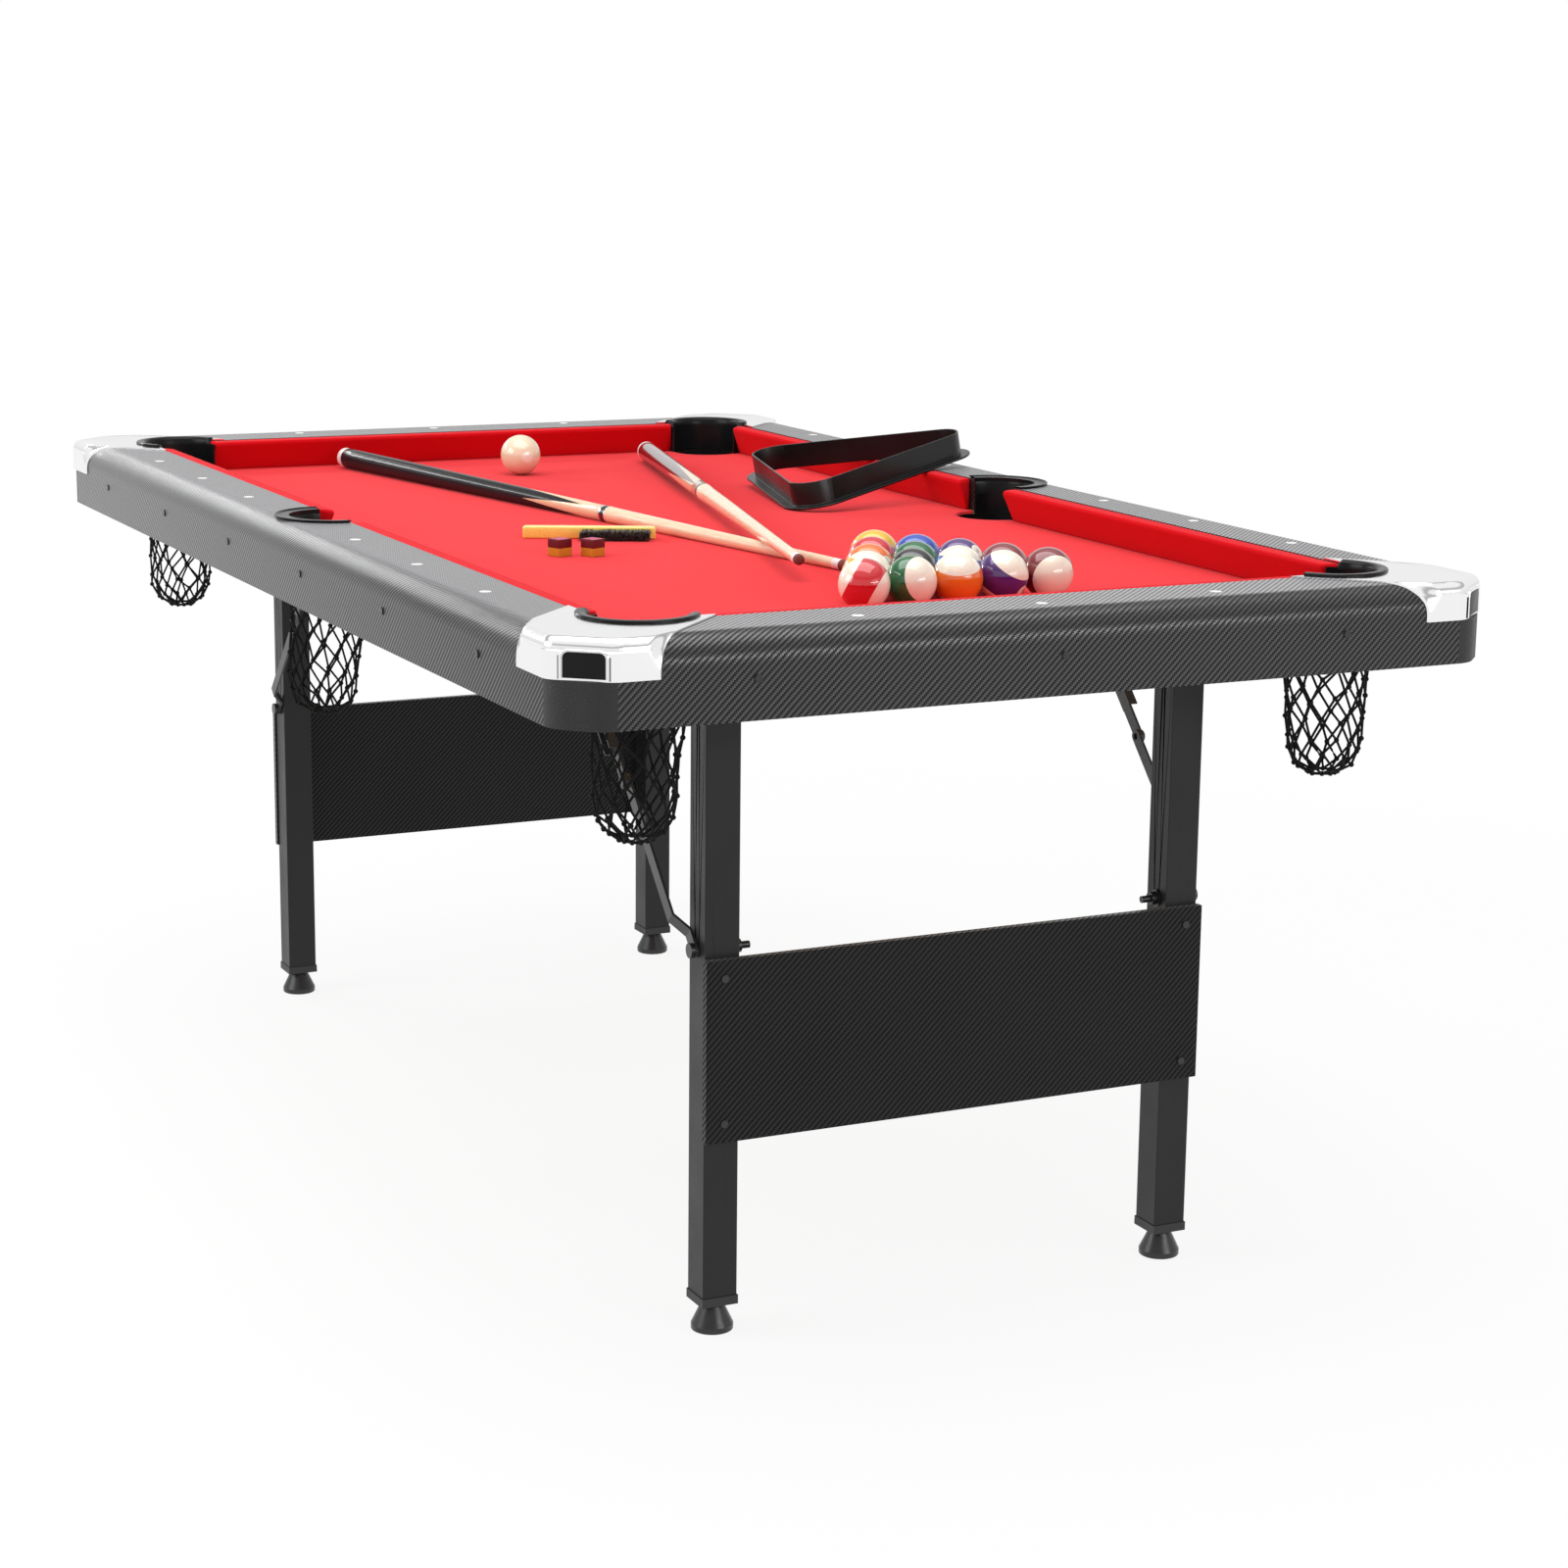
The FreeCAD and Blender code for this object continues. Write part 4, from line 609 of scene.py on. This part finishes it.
def casting(name, sx, sy):
    """A plated shell: upright faces, a crease, rounded shoulders and a flat top."""
    long, wide, top, seam = cast_high.x, cast_high.y, cast_high.z, cast_low.z
    count = 121
    outside = walk(bend_corners([Vector((wide + SIDE_CUT, wide)), Vector((CHAMFER_SIDE, wide)),
                                 Vector((long, CHAMFER_END)), Vector((long, long - END_CUT))],
                                10 * MM), count)
    centre = Vector((POCKET_LONG, POCKET_WIDE))
    hole, in_long, in_wide = 61.5 * MM, BED_LONG + 0.2 * MM, BED_WIDE + 0.2 * MM
    start = math.pi - math.asin((in_wide - centre.y) / hole)
    stop = -math.acos((in_long - centre.x) / hole)
    path = [Vector((in_wide + SIDE_CUT, in_wide))]
    path += [centre + hole * Vector((math.cos(turn), math.sin(turn)))
             for turn in np.linspace(start, stop, 60)]
    path.append(Vector((in_long, in_long - END_CUT)))
    inside = walk(path, count)
    # Two shapes of shoulder, as (in from the face, below the top): tight round the
    # corner, and wide at the cuts, where it follows the rails.
    arc = np.radians(np.linspace(0, 90, 11))
    tight = [(0.0, 26.0), (0.0, 20.0), (0.0, 13.6), (0.0, 13.0), (0.7, 12.4)]
    tight += [(0.7 + 12.4 * (1 - math.cos(turn)), 12.4 * (1 - math.sin(turn))) for turn in arc[1:]]
    broad = [(0.0, 33.0)]
    for down in (26.0, 20.0, 13.0, 12.4):
        broad.append((33 * (1 - math.sqrt(1 - (1 - down / 33) ** 2)), down))
    broad[3] = (broad[3][0], 13.0)
    first = math.asin(1 - 12.4 / 33)
    broad += [(33 * (1 - math.cos(turn)), 33 * (1 - math.sin(turn)))
              for turn in np.linspace(first, math.pi / 2, 11)[1:]]
    rings = []
    for index, (near, far) in enumerate(zip(outside, inside)):
        behind, ahead = outside[max(index - 1, 0)], outside[min(index + 1, count - 1)]
        run = (ahead - behind).normalized()
        inward = Vector((run.y, -run.x))
        line = (far - near).normalized()
        slope = max(0.5, line.dot(inward))
        place = index / (count - 1)
        share = 1 - ease(min(place, 1 - place), 0.0, 0.07)
        section = [(a[0] + (b[0] - a[0]) * share, a[1] + (b[1] - a[1]) * share)
                   for a, b in zip(tight, broad)]
        outer = [(0.0, seam)] + [(off * MM, top - down * MM) for off, down in section]
        lid = outer[-1][0] + 2 * MM
        inner = [(lid, top - 1.8 * MM)]
        for off, height in reversed(outer[:-1]):
            inner.append((off + 2.4 * MM - 0.6 * MM * (height > top - 6 * MM),
                          height - 1.8 * MM * ease(height, top - 26 * MM, top - 4 * MM)))
        ring = [(near + line * (off / slope), height) for off, height in outer]
        shoulder = outer[-1][0] / slope
        if (far - near).length * 0.7 > shoulder:
            halfway = near.lerp(far, 0.75)
        else:
            halfway = near + line * (shoulder + 1 * MM)
        ring += [(halfway, top), (far, top), (far, top - 1.8 * MM)]
        ring += [(near + line * (off / slope), height) for off, height in inner]
        rings.append([Vector((sx * flat.x, sy * flat.y, height)) for flat, height in ring])
    points, faces = loft(rings)
    top_piece(f"casting_{name}", points, faces, "chrome_plate", "corner_castings", 28.0)
    side_end = Vector((sx * CHAMFER_SIDE, sy * wide, 0))
    aside = Vector((sx * long, sy * CHAMFER_END, 0)) - side_end
    middle = side_end + aside * 0.56
    aside.normalize()
    out = Vector((sx * abs(aside.y), sy * abs(aside.x), 0))

    def arch(half, low, high, turn):
        """An arch on the corner's face: up, round over the top, and down."""
        line = [(-half, low), (-half, high - turn)]
        line += [(-half + turn - turn * math.cos(a), high - turn + turn * math.sin(a))
                 for a in arc[1:]]
        line += [(-u, v) for u, v in reversed(line)]
        return [middle + aside * u * MM + Vector((0, 0, v * MM)) for u, v in line]

    base = seam / MM
    face = arch(21.6, base + 2.4, base + 27.4, 6.0)
    rings = [[place + out * lift * MM for place in face] for lift in (-0.4, 0.5)]
    inner_face = arch(20.8, base + 3.2, base + 26.6, 5.4)
    rings.append([place + out * 0.8 * MM for place in inner_face])
    points, faces = loft(rings)
    top_piece(f"corner_plate_{name}", points, faces, "black_gloss", "corner_inset_plates", 30.0)
    frame_line = arch(23.7, base + 1.0, base + 29.0, 7.5)
    points, faces = tube([place + out * 0.2 * MM for place in frame_line], 1.25 * MM, 10)
    top_piece(f"corner_frame_{name}", points, faces, "chrome_plate", "corner_castings", 50.0)
    # Painted shade: thin black tubes stand for the dark of the two upright grooves beside the
    # frame.
    painted_groove_shade = [place - out * 0.1 * MM for place in arch(26.0, base + 1.0, base + 24.0, 0.2)]
    points, faces = gather([tube(part, 0.55 * MM) for part in (painted_groove_shade[:2], painted_groove_shade[-2:])])
    top_piece(f"corner_groove_shade_{name}", points, faces, "black_gloss", "corner_inset_plates", 50.0)


for name, (sx, sy) in CORNERS.items():
    casting(name, sx, sy)


# ---- nets

# How far each slack net swings out and hangs low, in mm.
HANG = {"net_middle_left": (17.0, 12.0), "net_far_left": (6.0, 5.0), "net_near_left": (2.0, 2.0)}


def net(name, centre, seed):
    """A knotted bag: diamonds of cord round the pocket, drawn in at the bottom."""
    rng = random.Random(seed)
    columns = 11
    rows = [(720.5, 50.0), (702, 48.5), (682, 46.0), (661, 44.0), (640, 43.0), (619, 42.5),
            (600, 40.0), (585, 32.0), (576, 17.0)]
    pull, drop_all = HANG.get(name, (0.0, 0.0))
    knots = []
    for level, (height, radius) in enumerate(rows):
        loop = []
        for column in range(columns):
            turn = (column + 0.5 * (level % 2)) * 2 * math.pi / columns
            loose = 0.0 if level == 0 else 1.0
            turn += loose * rng.uniform(-0.12, 0.12)
            size = radius + loose * rng.uniform(-2.4, 1.2)
            drop = loose * rng.uniform(-4.5, 4.5) if level < len(rows) - 2 else 0.0
            share = level / (len(rows) - 1)
            out = math.copysign(pull * math.sin(share * 2.2), centre.y)
            loop.append(centre + Vector((size * MM * math.cos(turn),
                                         size * MM * math.sin(turn) + out * MM,
                                         (height + drop - drop_all * share) * MM)))
        knots.append(loop)
    parts = []

    def strand(first, last, thick=1.4):
        bend = (first + last) / 2
        away = bend - Vector((centre.x, centre.y, bend.z))
        bend += away.normalized() * rng.uniform(-0.4, 0.9) * MM
        path = [curve(first, bend, last, share) for share in (0.0, 0.25, 0.5, 0.75, 1.0)]
        parts.append(tube(path, thick * MM))

    for level in range(len(rows) - 1):
        shift = level % 2
        for column in range(columns):
            below = knots[level + 1]
            strand(knots[level][column], below[(column + shift) % columns])
            strand(knots[level][column], below[(column + shift - 1) % columns])
    for loop in (knots[0], knots[-1]):
        for column in range(columns):
            strand(loop[column], loop[(column + 1) % columns], 1.6)
    for loop in knots[1:]:
        for knot in loop:
            across = Vector((rng.uniform(-1, 1), rng.uniform(-1, 1), rng.uniform(-0.6, 0.6)))
            across.normalize()
            first = across.orthogonal().normalized()
            second = across.cross(first)
            rings = []
            for shift, size in ((-3.0, 0.8), (-1.8, 2.5), (0.0, 3.1), (1.8, 2.5), (3.0, 0.8)):
                spot = knot + across * shift * MM
                rings.append([spot + size * MM * (math.cos(turn) * first + math.sin(turn) * second)
                              for turn in [math.pi * side / 4 for side in range(8)]])
            parts.append(loft(rings))
    points, faces = gather(parts)
    top_piece(name, points, faces, "net_cord", "pocket_nets", 60.0)


for index, (name, centre) in enumerate(POCKETS.items()):
    net(f"net_{name}", centre, 11 + index)


# ---- balls

BALL_COLOURS = {1: (0.80, 0.46, 0.02), 2: (0.01, 0.06, 0.42), 3: (0.60, 0.01, 0.02),
                4: (0.07, 0.015, 0.16), 5: (0.80, 0.16, 0.01), 6: (0.003, 0.12, 0.03),
                7: (0.20, 0.012, 0.02), 8: (0.006, 0.006, 0.006)}
# From the apex: each ball's number, and the turns in degrees that place its disc.
RACK_ROWS = [[(1, 60, 30)], [(3, 120, 50), (2, 40, 20)], [(5, 20, -20), (6, 150, 60), (4, 30, -35)],
             [(9, 70, 20), (8, 190, 40), (10, 110, 10), (7, 160, 30)],
             [(11, 235, 62), (14, 20, 75), (13, 153, -16), (12, 35, 35), (15, -5, 100)]]


def number_mesh(number):
    """A closed thin digit shape laid round the ball at its number disc."""
    text = bpy.data.curves.new(f"digits_{number}", "FONT")
    text.body = str(number)
    text.size = 0.0095
    text.align_x = "CENTER"
    text.align_y = "CENTER"
    text.extrude = 0.0001
    holder = bpy.data.objects.new(f"digits_{number}", text)
    bpy.context.scene.collection.objects.link(holder)
    bpy.context.view_layer.update()
    mesh = bpy.data.meshes.new_from_object(holder)
    points = []
    for vertex in mesh.vertices:
        flat = Vector((BALL, vertex.co.x, vertex.co.y)).normalized()
        points.append(flat * (BALL - 0.00004 + 0.6 * vertex.co.z))
    faces = [tuple(polygon.vertices) for polygon in mesh.polygons]
    bpy.data.objects.remove(holder)
    bpy.data.meshes.remove(mesh)
    return points, faces


def ball(name, centre, body, node, material, number=None, turn=Matrix.Identity(4)):
    """A round ball, with its number laid on when it has one."""
    work = bmesh.new()
    bmesh.ops.create_icosphere(work, subdivisions=5, radius=BALL)
    points = [vertex.co.copy() for vertex in work.verts]
    faces = [tuple(vertex.index for vertex in face.verts) for face in work.faces]
    work.free()
    shell = len(faces)
    if number:
        points, faces = gather([(points, faces), number_mesh(number)])
    obj = piece(name, points, faces, material, body, (node,), 60.0)
    if number:
        obj.data.materials.append(MATERIALS["ball_ink"])
        for polygon in obj.data.polygons:
            if polygon.index >= shell:
                polygon.material_index = 1
    obj.matrix_world = Matrix.Translation(centre) @ turn


low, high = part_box("object_balls")
pitch = (high.y - low.y - 2 * BALL) / 4
for row, balls in enumerate(RACK_ROWS):
    for column, (number, spin, tilt) in enumerate(balls):
        centre = Vector((low.x + BALL + row * pitch * math.sqrt(3) / 2,
                         (low.y + high.y) / 2 + (column - row / 2) * pitch, (low.z + high.z) / 2))
        colour = BALL_COLOURS[number if number < 9 else number - 8]
        turn = (Matrix.Rotation(math.radians(spin), 4, "Z")
                @ Matrix.Rotation(math.radians(tilt), 4, "Y"))
        label = f"ball_{row}_{column}"
        ball(label, centre, "ball_set", "object_balls",
             resin(label, colour, number > 8), number, turn)
low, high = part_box("cue_ball")
ball("white_ball", (low + high) / 2, "cue_ball", "cue_ball",
     MATERIALS["cue_ball_resin"])


# ---- cues

def ends_of(node):
    """The two ends of a long piece's middle line, the thicker one first."""
    places = np.array([vertex.co for vertex in frame["nodes"][node].data.vertices])
    middle = places.mean(0)
    line = np.linalg.svd(places - middle, full_matrices=False)[2][0]
    along = (places - middle) @ line
    found = []
    for limit in (along.min(), along.max()):
        near = places[np.abs(along - limit) < 0.0045]
        width = np.linalg.norm(near - near.mean(0), axis=1).max()
        found.append((width, Vector(near.mean(0))))
    found.sort(key=lambda item: -item[0])
    return found[0][1], found[1][1]


def butt_wood(name, dark, pale, solid, tips, coat):
    """A stained butt whose points run up into the pale forearm along local Z."""
    shader = Shader(name)
    place = shader.place()
    turn = shader.math("ARCTAN2", place["Y"], place["X"])
    wave = shader.math("PINGPONG", shader.math("MULTIPLY", turn, 4 / math.pi), 1.0)
    height = shader.spread(place["Z"], solid, tips, 0.0, 1.0)
    mask = shader.math("GREATER_THAN", height, wave)
    grain = shader.noise(14.0, 6.0, (70, 70, 2.5))
    stained = shader.mix(grain, dark, rgb(*[value * 1.7 for value in dark[:3]]))
    maple = shader.mix(grain, pale, rgb(*[value * 0.78 for value in pale[:3]]))
    return shader.set(Base_Color=shader.mix(mask, stained, maple), Roughness=0.22,
                      Coat_Weight=coat, Coat_Roughness=0.05,
                      Specular_IOR_Level=shader.spread(mask, 0.0, 1.0, coat * 0.6, 0.5))


MAPLE = rgb(0.80, 0.60, 0.38)
shaft_wood = timber("cue_shaft", rgb(0.84, 0.66, 0.46), rgb(0.70, 0.50, 0.31))
collar_steel = plated("cue_ring", (0.75, 0.75, 0.76), 0.2)


def cue(name, node, body, butt, joint):
    """A two-piece cue: end cap, stained butt, joint, shaft, ferrule and leather tip."""
    start, stop = ends_of(node)

    def taper(place):
        """The radius in mm: a slow taper at first and a quicker one past 706 mm."""
        return 14.4 - 3.9 * min(place, 706) / 706 - 4.1 * max(place - 706, 0) / 500

    # Place along the cue and radius, both in mm, and the material from there on.
    neck = taper(joint)
    rows = [(0, 11.0, 0), (0.8, 13.2, 0), (2.5, 14.1, 0), (13, 14.2, 0), (13.5, 14.3, 3),
            (40, 14.2, 1)]
    rows += [(place, taper(place), 1) for place in range(90, joint - 20, 50)]
    rows += [(joint + shift, neck + more, slot)
             for shift, more, slot in ((-9, 0, 1), (-8.4, 0.3, 2), (-5, 0.3, 2), (-4.4, 0.35, 3),
                                       (4, 0.35, 3), (4.6, 0.3, 2), (6, 0.3, 2), (7, 0, 4))]
    rows += [(place, taper(place), 4) for place in range(joint + 50, 1170, 50)]
    rows += [(1196, 6.5, 4), (1196.4, 6.45, 0), (1209, 6.4, 0), (1209.5, 6.3, 5), (1215.5, 6.2, 5),
             (1217.6, 5.2, 5), (1218.7, 3.2, 5)]
    stretch = (stop - start).length / MM / CUE
    turns = [2 * math.pi * side / 40 for side in range(40)]
    heights = [place * stretch * MM for place, _, _ in rows]
    points, faces = loft([[Vector((radius * MM * math.cos(turn), radius * MM * math.sin(turn),
                                   height)) for turn in turns]
                          for height, (_, radius, _) in zip(heights, rows)])
    obj = piece(name, points, faces, MATERIALS["cue_bumper"], body, (node,), 50.0)
    for material in (butt, collar_steel, MATERIALS["cue_collar"], shaft_wood,
                     MATERIALS["cue_leather"]):
        obj.data.materials.append(material)
    for polygon in obj.data.polygons:
        level = max(index for index, height in enumerate(heights[:-1])
                    if height <= polygon.center.z + 1e-7)
        polygon.material_index = rows[level + 1][2]
    turn = (stop - start).to_track_quat("Z", "Y").to_matrix().to_4x4()
    obj.matrix_world = Matrix.Translation(start) @ turn


cue("cue_black", "cue_lower", "lower_cue",
    butt_wood("butt_black", rgb(0.010, 0.010, 0.011), MAPLE, 0.512, 0.653, 0.12), 706)
cue("cue_maroon", "cue_upper", "upper_cue",
    butt_wood("butt_maroon", rgb(0.050, 0.010, 0.011), MAPLE, 0.290, 0.521, 0.8), 539)


# ---- brush and chalk

def brush():
    """A straight lacquered stock with tufts along half of it."""
    low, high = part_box("brush_stock")
    places = np.array([vertex.co for vertex in frame["nodes"]["brush_stock"].data.vertices])
    first = places[places[:, 2] < places[:, 2].mean()]
    corner = Vector(first[first[:, 1].argmin()])
    rest = sorted({tuple(np.round(place, 6)) for place in first},
                  key=lambda place: (Vector(place) - corner).length)
    wide = Vector(rest[1]) - corner
    long = Vector(rest[2]) - corner
    if long.length < wide.length:
        wide, long = long, wide
    length, width, tall = long.length, wide.length, high.z - low.z
    ahead, aside = long.normalized(), wide.normalized()
    square = 0.22                       # 1 makes the section round and 0 makes it square

    def squared(value):
        return math.copysign(abs(value) ** square, value)

    rings = []
    shape = [(0.0, 0.86), (0.008, 0.96), (0.02, 1.0), (0.35, 1.0), (0.7, 1.0), (0.98, 1.0),
             (0.992, 0.96), (1.0, 0.86)]
    for share, size in shape:
        ring = []
        for side in range(24):
            turn = 2 * math.pi * side / 24
            across = squared(math.cos(turn)) * width / 2 * size
            up = squared(math.sin(turn)) * tall / 2 * size
            place = corner + ahead * (share * length) + aside * (width / 2 + across)
            ring.append(Vector((place.x, place.y, low.z + tall / 2 * size + up)))
        rings.append(ring)
    points, faces = loft(rings)
    paint = timber("brush_lacquer", rgb(0.92, 0.70, 0.16), rgb(0.86, 0.60, 0.10), 0.3,
                   (30, 30, 30))
    piece("brush_body", points, faces, paint, "brush", ("brush_stock",), 50.0)
    rng = random.Random(9)
    parts = []
    reach = 25 * MM
    for column in range(15):
        for row in range(3):
            root = corner + ahead * length * (0.43 + 0.53 * (column + 0.5) / 15)
            root += Vector((0, 0, tall * (0.26 + 0.23 * row)))
            for _ in range(14):
                shift = ahead * rng.uniform(-2.5, 2.5) * MM
                shift += Vector((0, 0, rng.uniform(-1.6, 1.6) * MM))
                lean = ahead * rng.uniform(-1.6, 1.6) * MM
                lean += Vector((0, 0, rng.uniform(-1.4, 1.4) * MM))
                base = root + shift + aside * 1.5 * MM
                end = base - aside * (reach + rng.uniform(-1.0, 1.0) * MM) + lean
                end.z = max(end.z, low.z + 0.9 * MM)
                parts.append(tube([base, (base + end) / 2, end], 0.6 * MM, 4))
    points, faces = gather(parts)
    piece("brush_tufts", points, faces, MATERIALS["bristle"], "brush", ("brush_bristles",))


def chalk_paper(name, floor):
    """Two-colour paper wrapper: gold below and dark red above."""
    shader = Shader(name)
    place = shader.place()
    speck = shader.noise(500.0, 3.0)
    band = shader.math("GREATER_THAN", place["Z"], floor + 10.5 * MM)
    gold = shader.mix(speck, rgb(0.62, 0.30, 0.03), rgb(0.50, 0.22, 0.02))
    wine = shader.mix(speck, rgb(0.15, 0.004, 0.010), rgb(0.10, 0.003, 0.007))
    shader.bump(speck, 0.00004, 0.5)
    return shader.set(Base_Color=shader.mix(band, gold, wine), Roughness=0.42,
                      Specular_IOR_Level=0.2)


def chalks():
    """Cubes of pink chalk with rounded edges, a worn hollow on top and a paper wrapper."""
    obj_cad = frame["nodes"]["chalk_cubes"]
    places = np.array([vertex.co for vertex in obj_cad.data.vertices])
    low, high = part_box("chalk_cubes")
    split = (low.y + high.y) / 2
    size = high.z - low.z
    for index, group in enumerate((places[places[:, 1] < split], places[places[:, 1] >= split])):
        foot = group[group[:, 2] < low.z + size / 2]
        middle = (foot.min(0) + foot.max(0)) / 2
        near = foot[foot[:, 1].argmin()]
        turn = math.atan2(near[1] - middle[1], near[0] - middle[0]) + math.pi / 4
        work = bmesh.new()
        bmesh.ops.create_cube(work, size=size)
        bmesh.ops.bevel(work, geom=work.edges[:], offset=1.1 * MM, segments=3, affect="EDGES",
                        profile=0.5)
        top = [item for item in work.faces if item.normal.z > 0.99]
        bmesh.ops.inset_region(work, faces=top, thickness=1.2 * MM)
        bmesh.ops.inset_region(work, faces=top, thickness=3.0 * MM, depth=-1.6 * MM)
        points = [vertex.co.copy() for vertex in work.verts]
        faces = [tuple(vertex.index for vertex in item.verts) for item in work.faces]
        work.free()
        paper = chalk_paper(f"chalk_paper_{index}", -size / 2)
        cube = piece(f"chalk_{index}", points, faces, paper, "chalks", ("chalk_cubes",),
                     40.0)
        cube.data.materials.append(MATERIALS["chalk_face"])
        for polygon in cube.data.polygons:
            centre = polygon.center
            across = max(abs(centre.x), abs(centre.y))
            if centre.z > size / 2 - 3 * MM and across < size / 2 - 1.6 * MM:
                polygon.material_index = 1
        spin = Matrix.Rotation(turn, 4, "Z")
        cube.matrix_world = Matrix.Translation((middle[0], middle[1], low.z + size / 2)) @ spin


brush()
chalks()

for node_name in frame["nodes"]:
    if node_name.startswith(("leg_near", "leg_far")):
        soften(node_name, 2.4)
soften("ball_rack", 0.9)


# ---- stage, light and camera

def floor():
    """A pale floor that fades into the white surroundings."""
    shader = Shader("studio_floor")
    place = shader.place()
    square = shader.math("ADD", shader.math("MULTIPLY", place["X"], place["X"]),
                         shader.math("MULTIPLY", place["Y"], place["Y"]))
    distance = shader.math("SQRT", square)
    fade = shader.spread(distance, 0.8, 2.6, 0.88, 1.0)
    shade = shader.noise(2.0)
    shader.set(Base_Color=shader.mix(shade, rgb(0.90, 0.90, 0.90), rgb(0.93, 0.93, 0.93)),
               Roughness=0.9, Specular_IOR_Level=0.1)
    glow = shader.tree.nodes.new("ShaderNodeEmission")
    glow.inputs["Strength"].default_value = 1.0
    blend = shader.tree.nodes.new("ShaderNodeMixShader")
    output = shader.tree.nodes["Material Output"]
    shader.feed(blend.inputs[0], fade)
    shader.tree.links.new(shader.surface.outputs[0], blend.inputs[1])
    shader.tree.links.new(glow.outputs[0], blend.inputs[2])
    shader.tree.links.new(blend.outputs[0], output.inputs["Surface"])
    half = 40.0
    mesh = bpy.data.meshes.new("floor")
    mesh.from_pydata([(-half, -half, 0), (half, -half, 0), (half, half, 0), (-half, half, 0)], [],
                     [(0, 1, 2, 3)])
    obj = bpy.data.objects.new("floor", mesh)
    bpy.context.scene.collection.objects.link(obj)
    mesh.materials.append(shader.material)


def surroundings():
    """White to the camera, dim to dull surfaces, and bright with soft bands in reflections."""
    world = bpy.data.worlds.new("studio")
    bpy.context.scene.world = world
    world.use_nodes = True
    tree = world.node_tree
    background = tree.nodes["Background"]
    direction = tree.nodes.new("ShaderNodeTexCoord")
    parts = tree.nodes.new("ShaderNodeSeparateXYZ")
    tree.links.new(direction.outputs["Generated"], parts.inputs[0])
    ramp = tree.nodes.new("ShaderNodeValToRGB")
    bands = ((0.0, 0.80), (0.12, 0.92), (0.42, 0.95), (0.50, 0.42), (0.60, 0.55), (0.72, 1.0))
    elements = ramp.color_ramp.elements
    while len(elements) < len(bands):
        elements.new(1.0)
    for element, (place, level) in zip(elements, bands):
        element.position = place
        element.color = rgb(level, level, level)
    tree.links.new(parts.outputs[2], ramp.inputs[0])
    rays = tree.nodes.new("ShaderNodeLightPath")
    mirrored = tree.nodes.new("ShaderNodeMix")
    choose = tree.nodes.new("ShaderNodeMix")
    for item in (mirrored, choose):
        item.data_type = "RGBA"
    tree.links.new(rays.outputs["Is Glossy Ray"], mirrored.inputs[0])
    mirrored.inputs[6].default_value = rgb(0.42, 0.42, 0.43)
    tree.links.new(ramp.outputs[0], mirrored.inputs[7])
    tree.links.new(rays.outputs["Is Camera Ray"], choose.inputs[0])
    tree.links.new(mirrored.outputs[2], choose.inputs[6])
    choose.inputs[7].default_value = rgb(1.0, 1.0, 1.0)
    tree.links.new(choose.outputs[2], background.inputs[0])
    background.inputs[1].default_value = 1.0


def softbox(name, place, target, size, power):
    """A soft rectangular light that faces its target and that the camera doesn't see."""
    light = bpy.data.lights.new(name, "AREA")
    light.shape = "RECTANGLE"
    light.size, light.size_y = size
    light.energy = power
    obj = bpy.data.objects.new(name, light)
    obj.location = place
    obj.rotation_mode = "QUATERNION"
    obj.rotation_quaternion = (Vector(target) - Vector(place)).to_track_quat("-Z", "Y")
    obj.visible_camera = False
    bpy.context.scene.collection.objects.link(obj)


def camera():
    """The camera: azimuth, pitch and roll in degrees, then its place in metres."""
    azimuth, pitch, roll = (math.radians(angle) for angle in (64.103, -12.117, 0.632))
    ahead = Vector((-math.sin(azimuth) * math.cos(pitch), math.cos(azimuth) * math.cos(pitch),
                    math.sin(pitch)))
    level = Vector((math.cos(azimuth), math.sin(azimuth), 0))
    upright = level.cross(ahead)
    right = level * math.cos(roll) + upright * math.sin(roll)
    top = upright * math.cos(roll) - level * math.sin(roll)
    data = bpy.data.cameras.new("camera")
    data.sensor_width = 36.0
    data.lens = 75.36
    obj = bpy.data.objects.new("camera", data)
    turn = Matrix((right, top, -ahead)).transposed().to_4x4()
    obj.matrix_world = Matrix.Translation((3.7684, -1.6784, 1.3188)) @ turn
    bpy.context.scene.collection.objects.link(obj)
    bpy.context.scene.camera = obj


floor()
surroundings()
softbox("ceiling", (0.2, -0.2, 3.2), (0, 0, 0.8), (3.4, 2.4), 75.0)
softbox("left_key", (-0.4, -3.6, 2.3), (0, 0, 0.7), (2.6, 1.6), 55.0)
softbox("front_fill", (4.2, 1.6, 1.7), (0, 0, 0.7), (1.8, 1.8), 12.0)
softbox("end_strip", (3.8, 1.2, 1.66), (0.96, 0, 0.78), (2.4, 0.10), 16.0)
softbox("side_strip", (-2.5, -1.15, 1.72), (0, -0.54, 0.78), (1.8, 0.14), 16.0)
camera()
bpy.context.scene.view_settings.view_transform = "Standard"
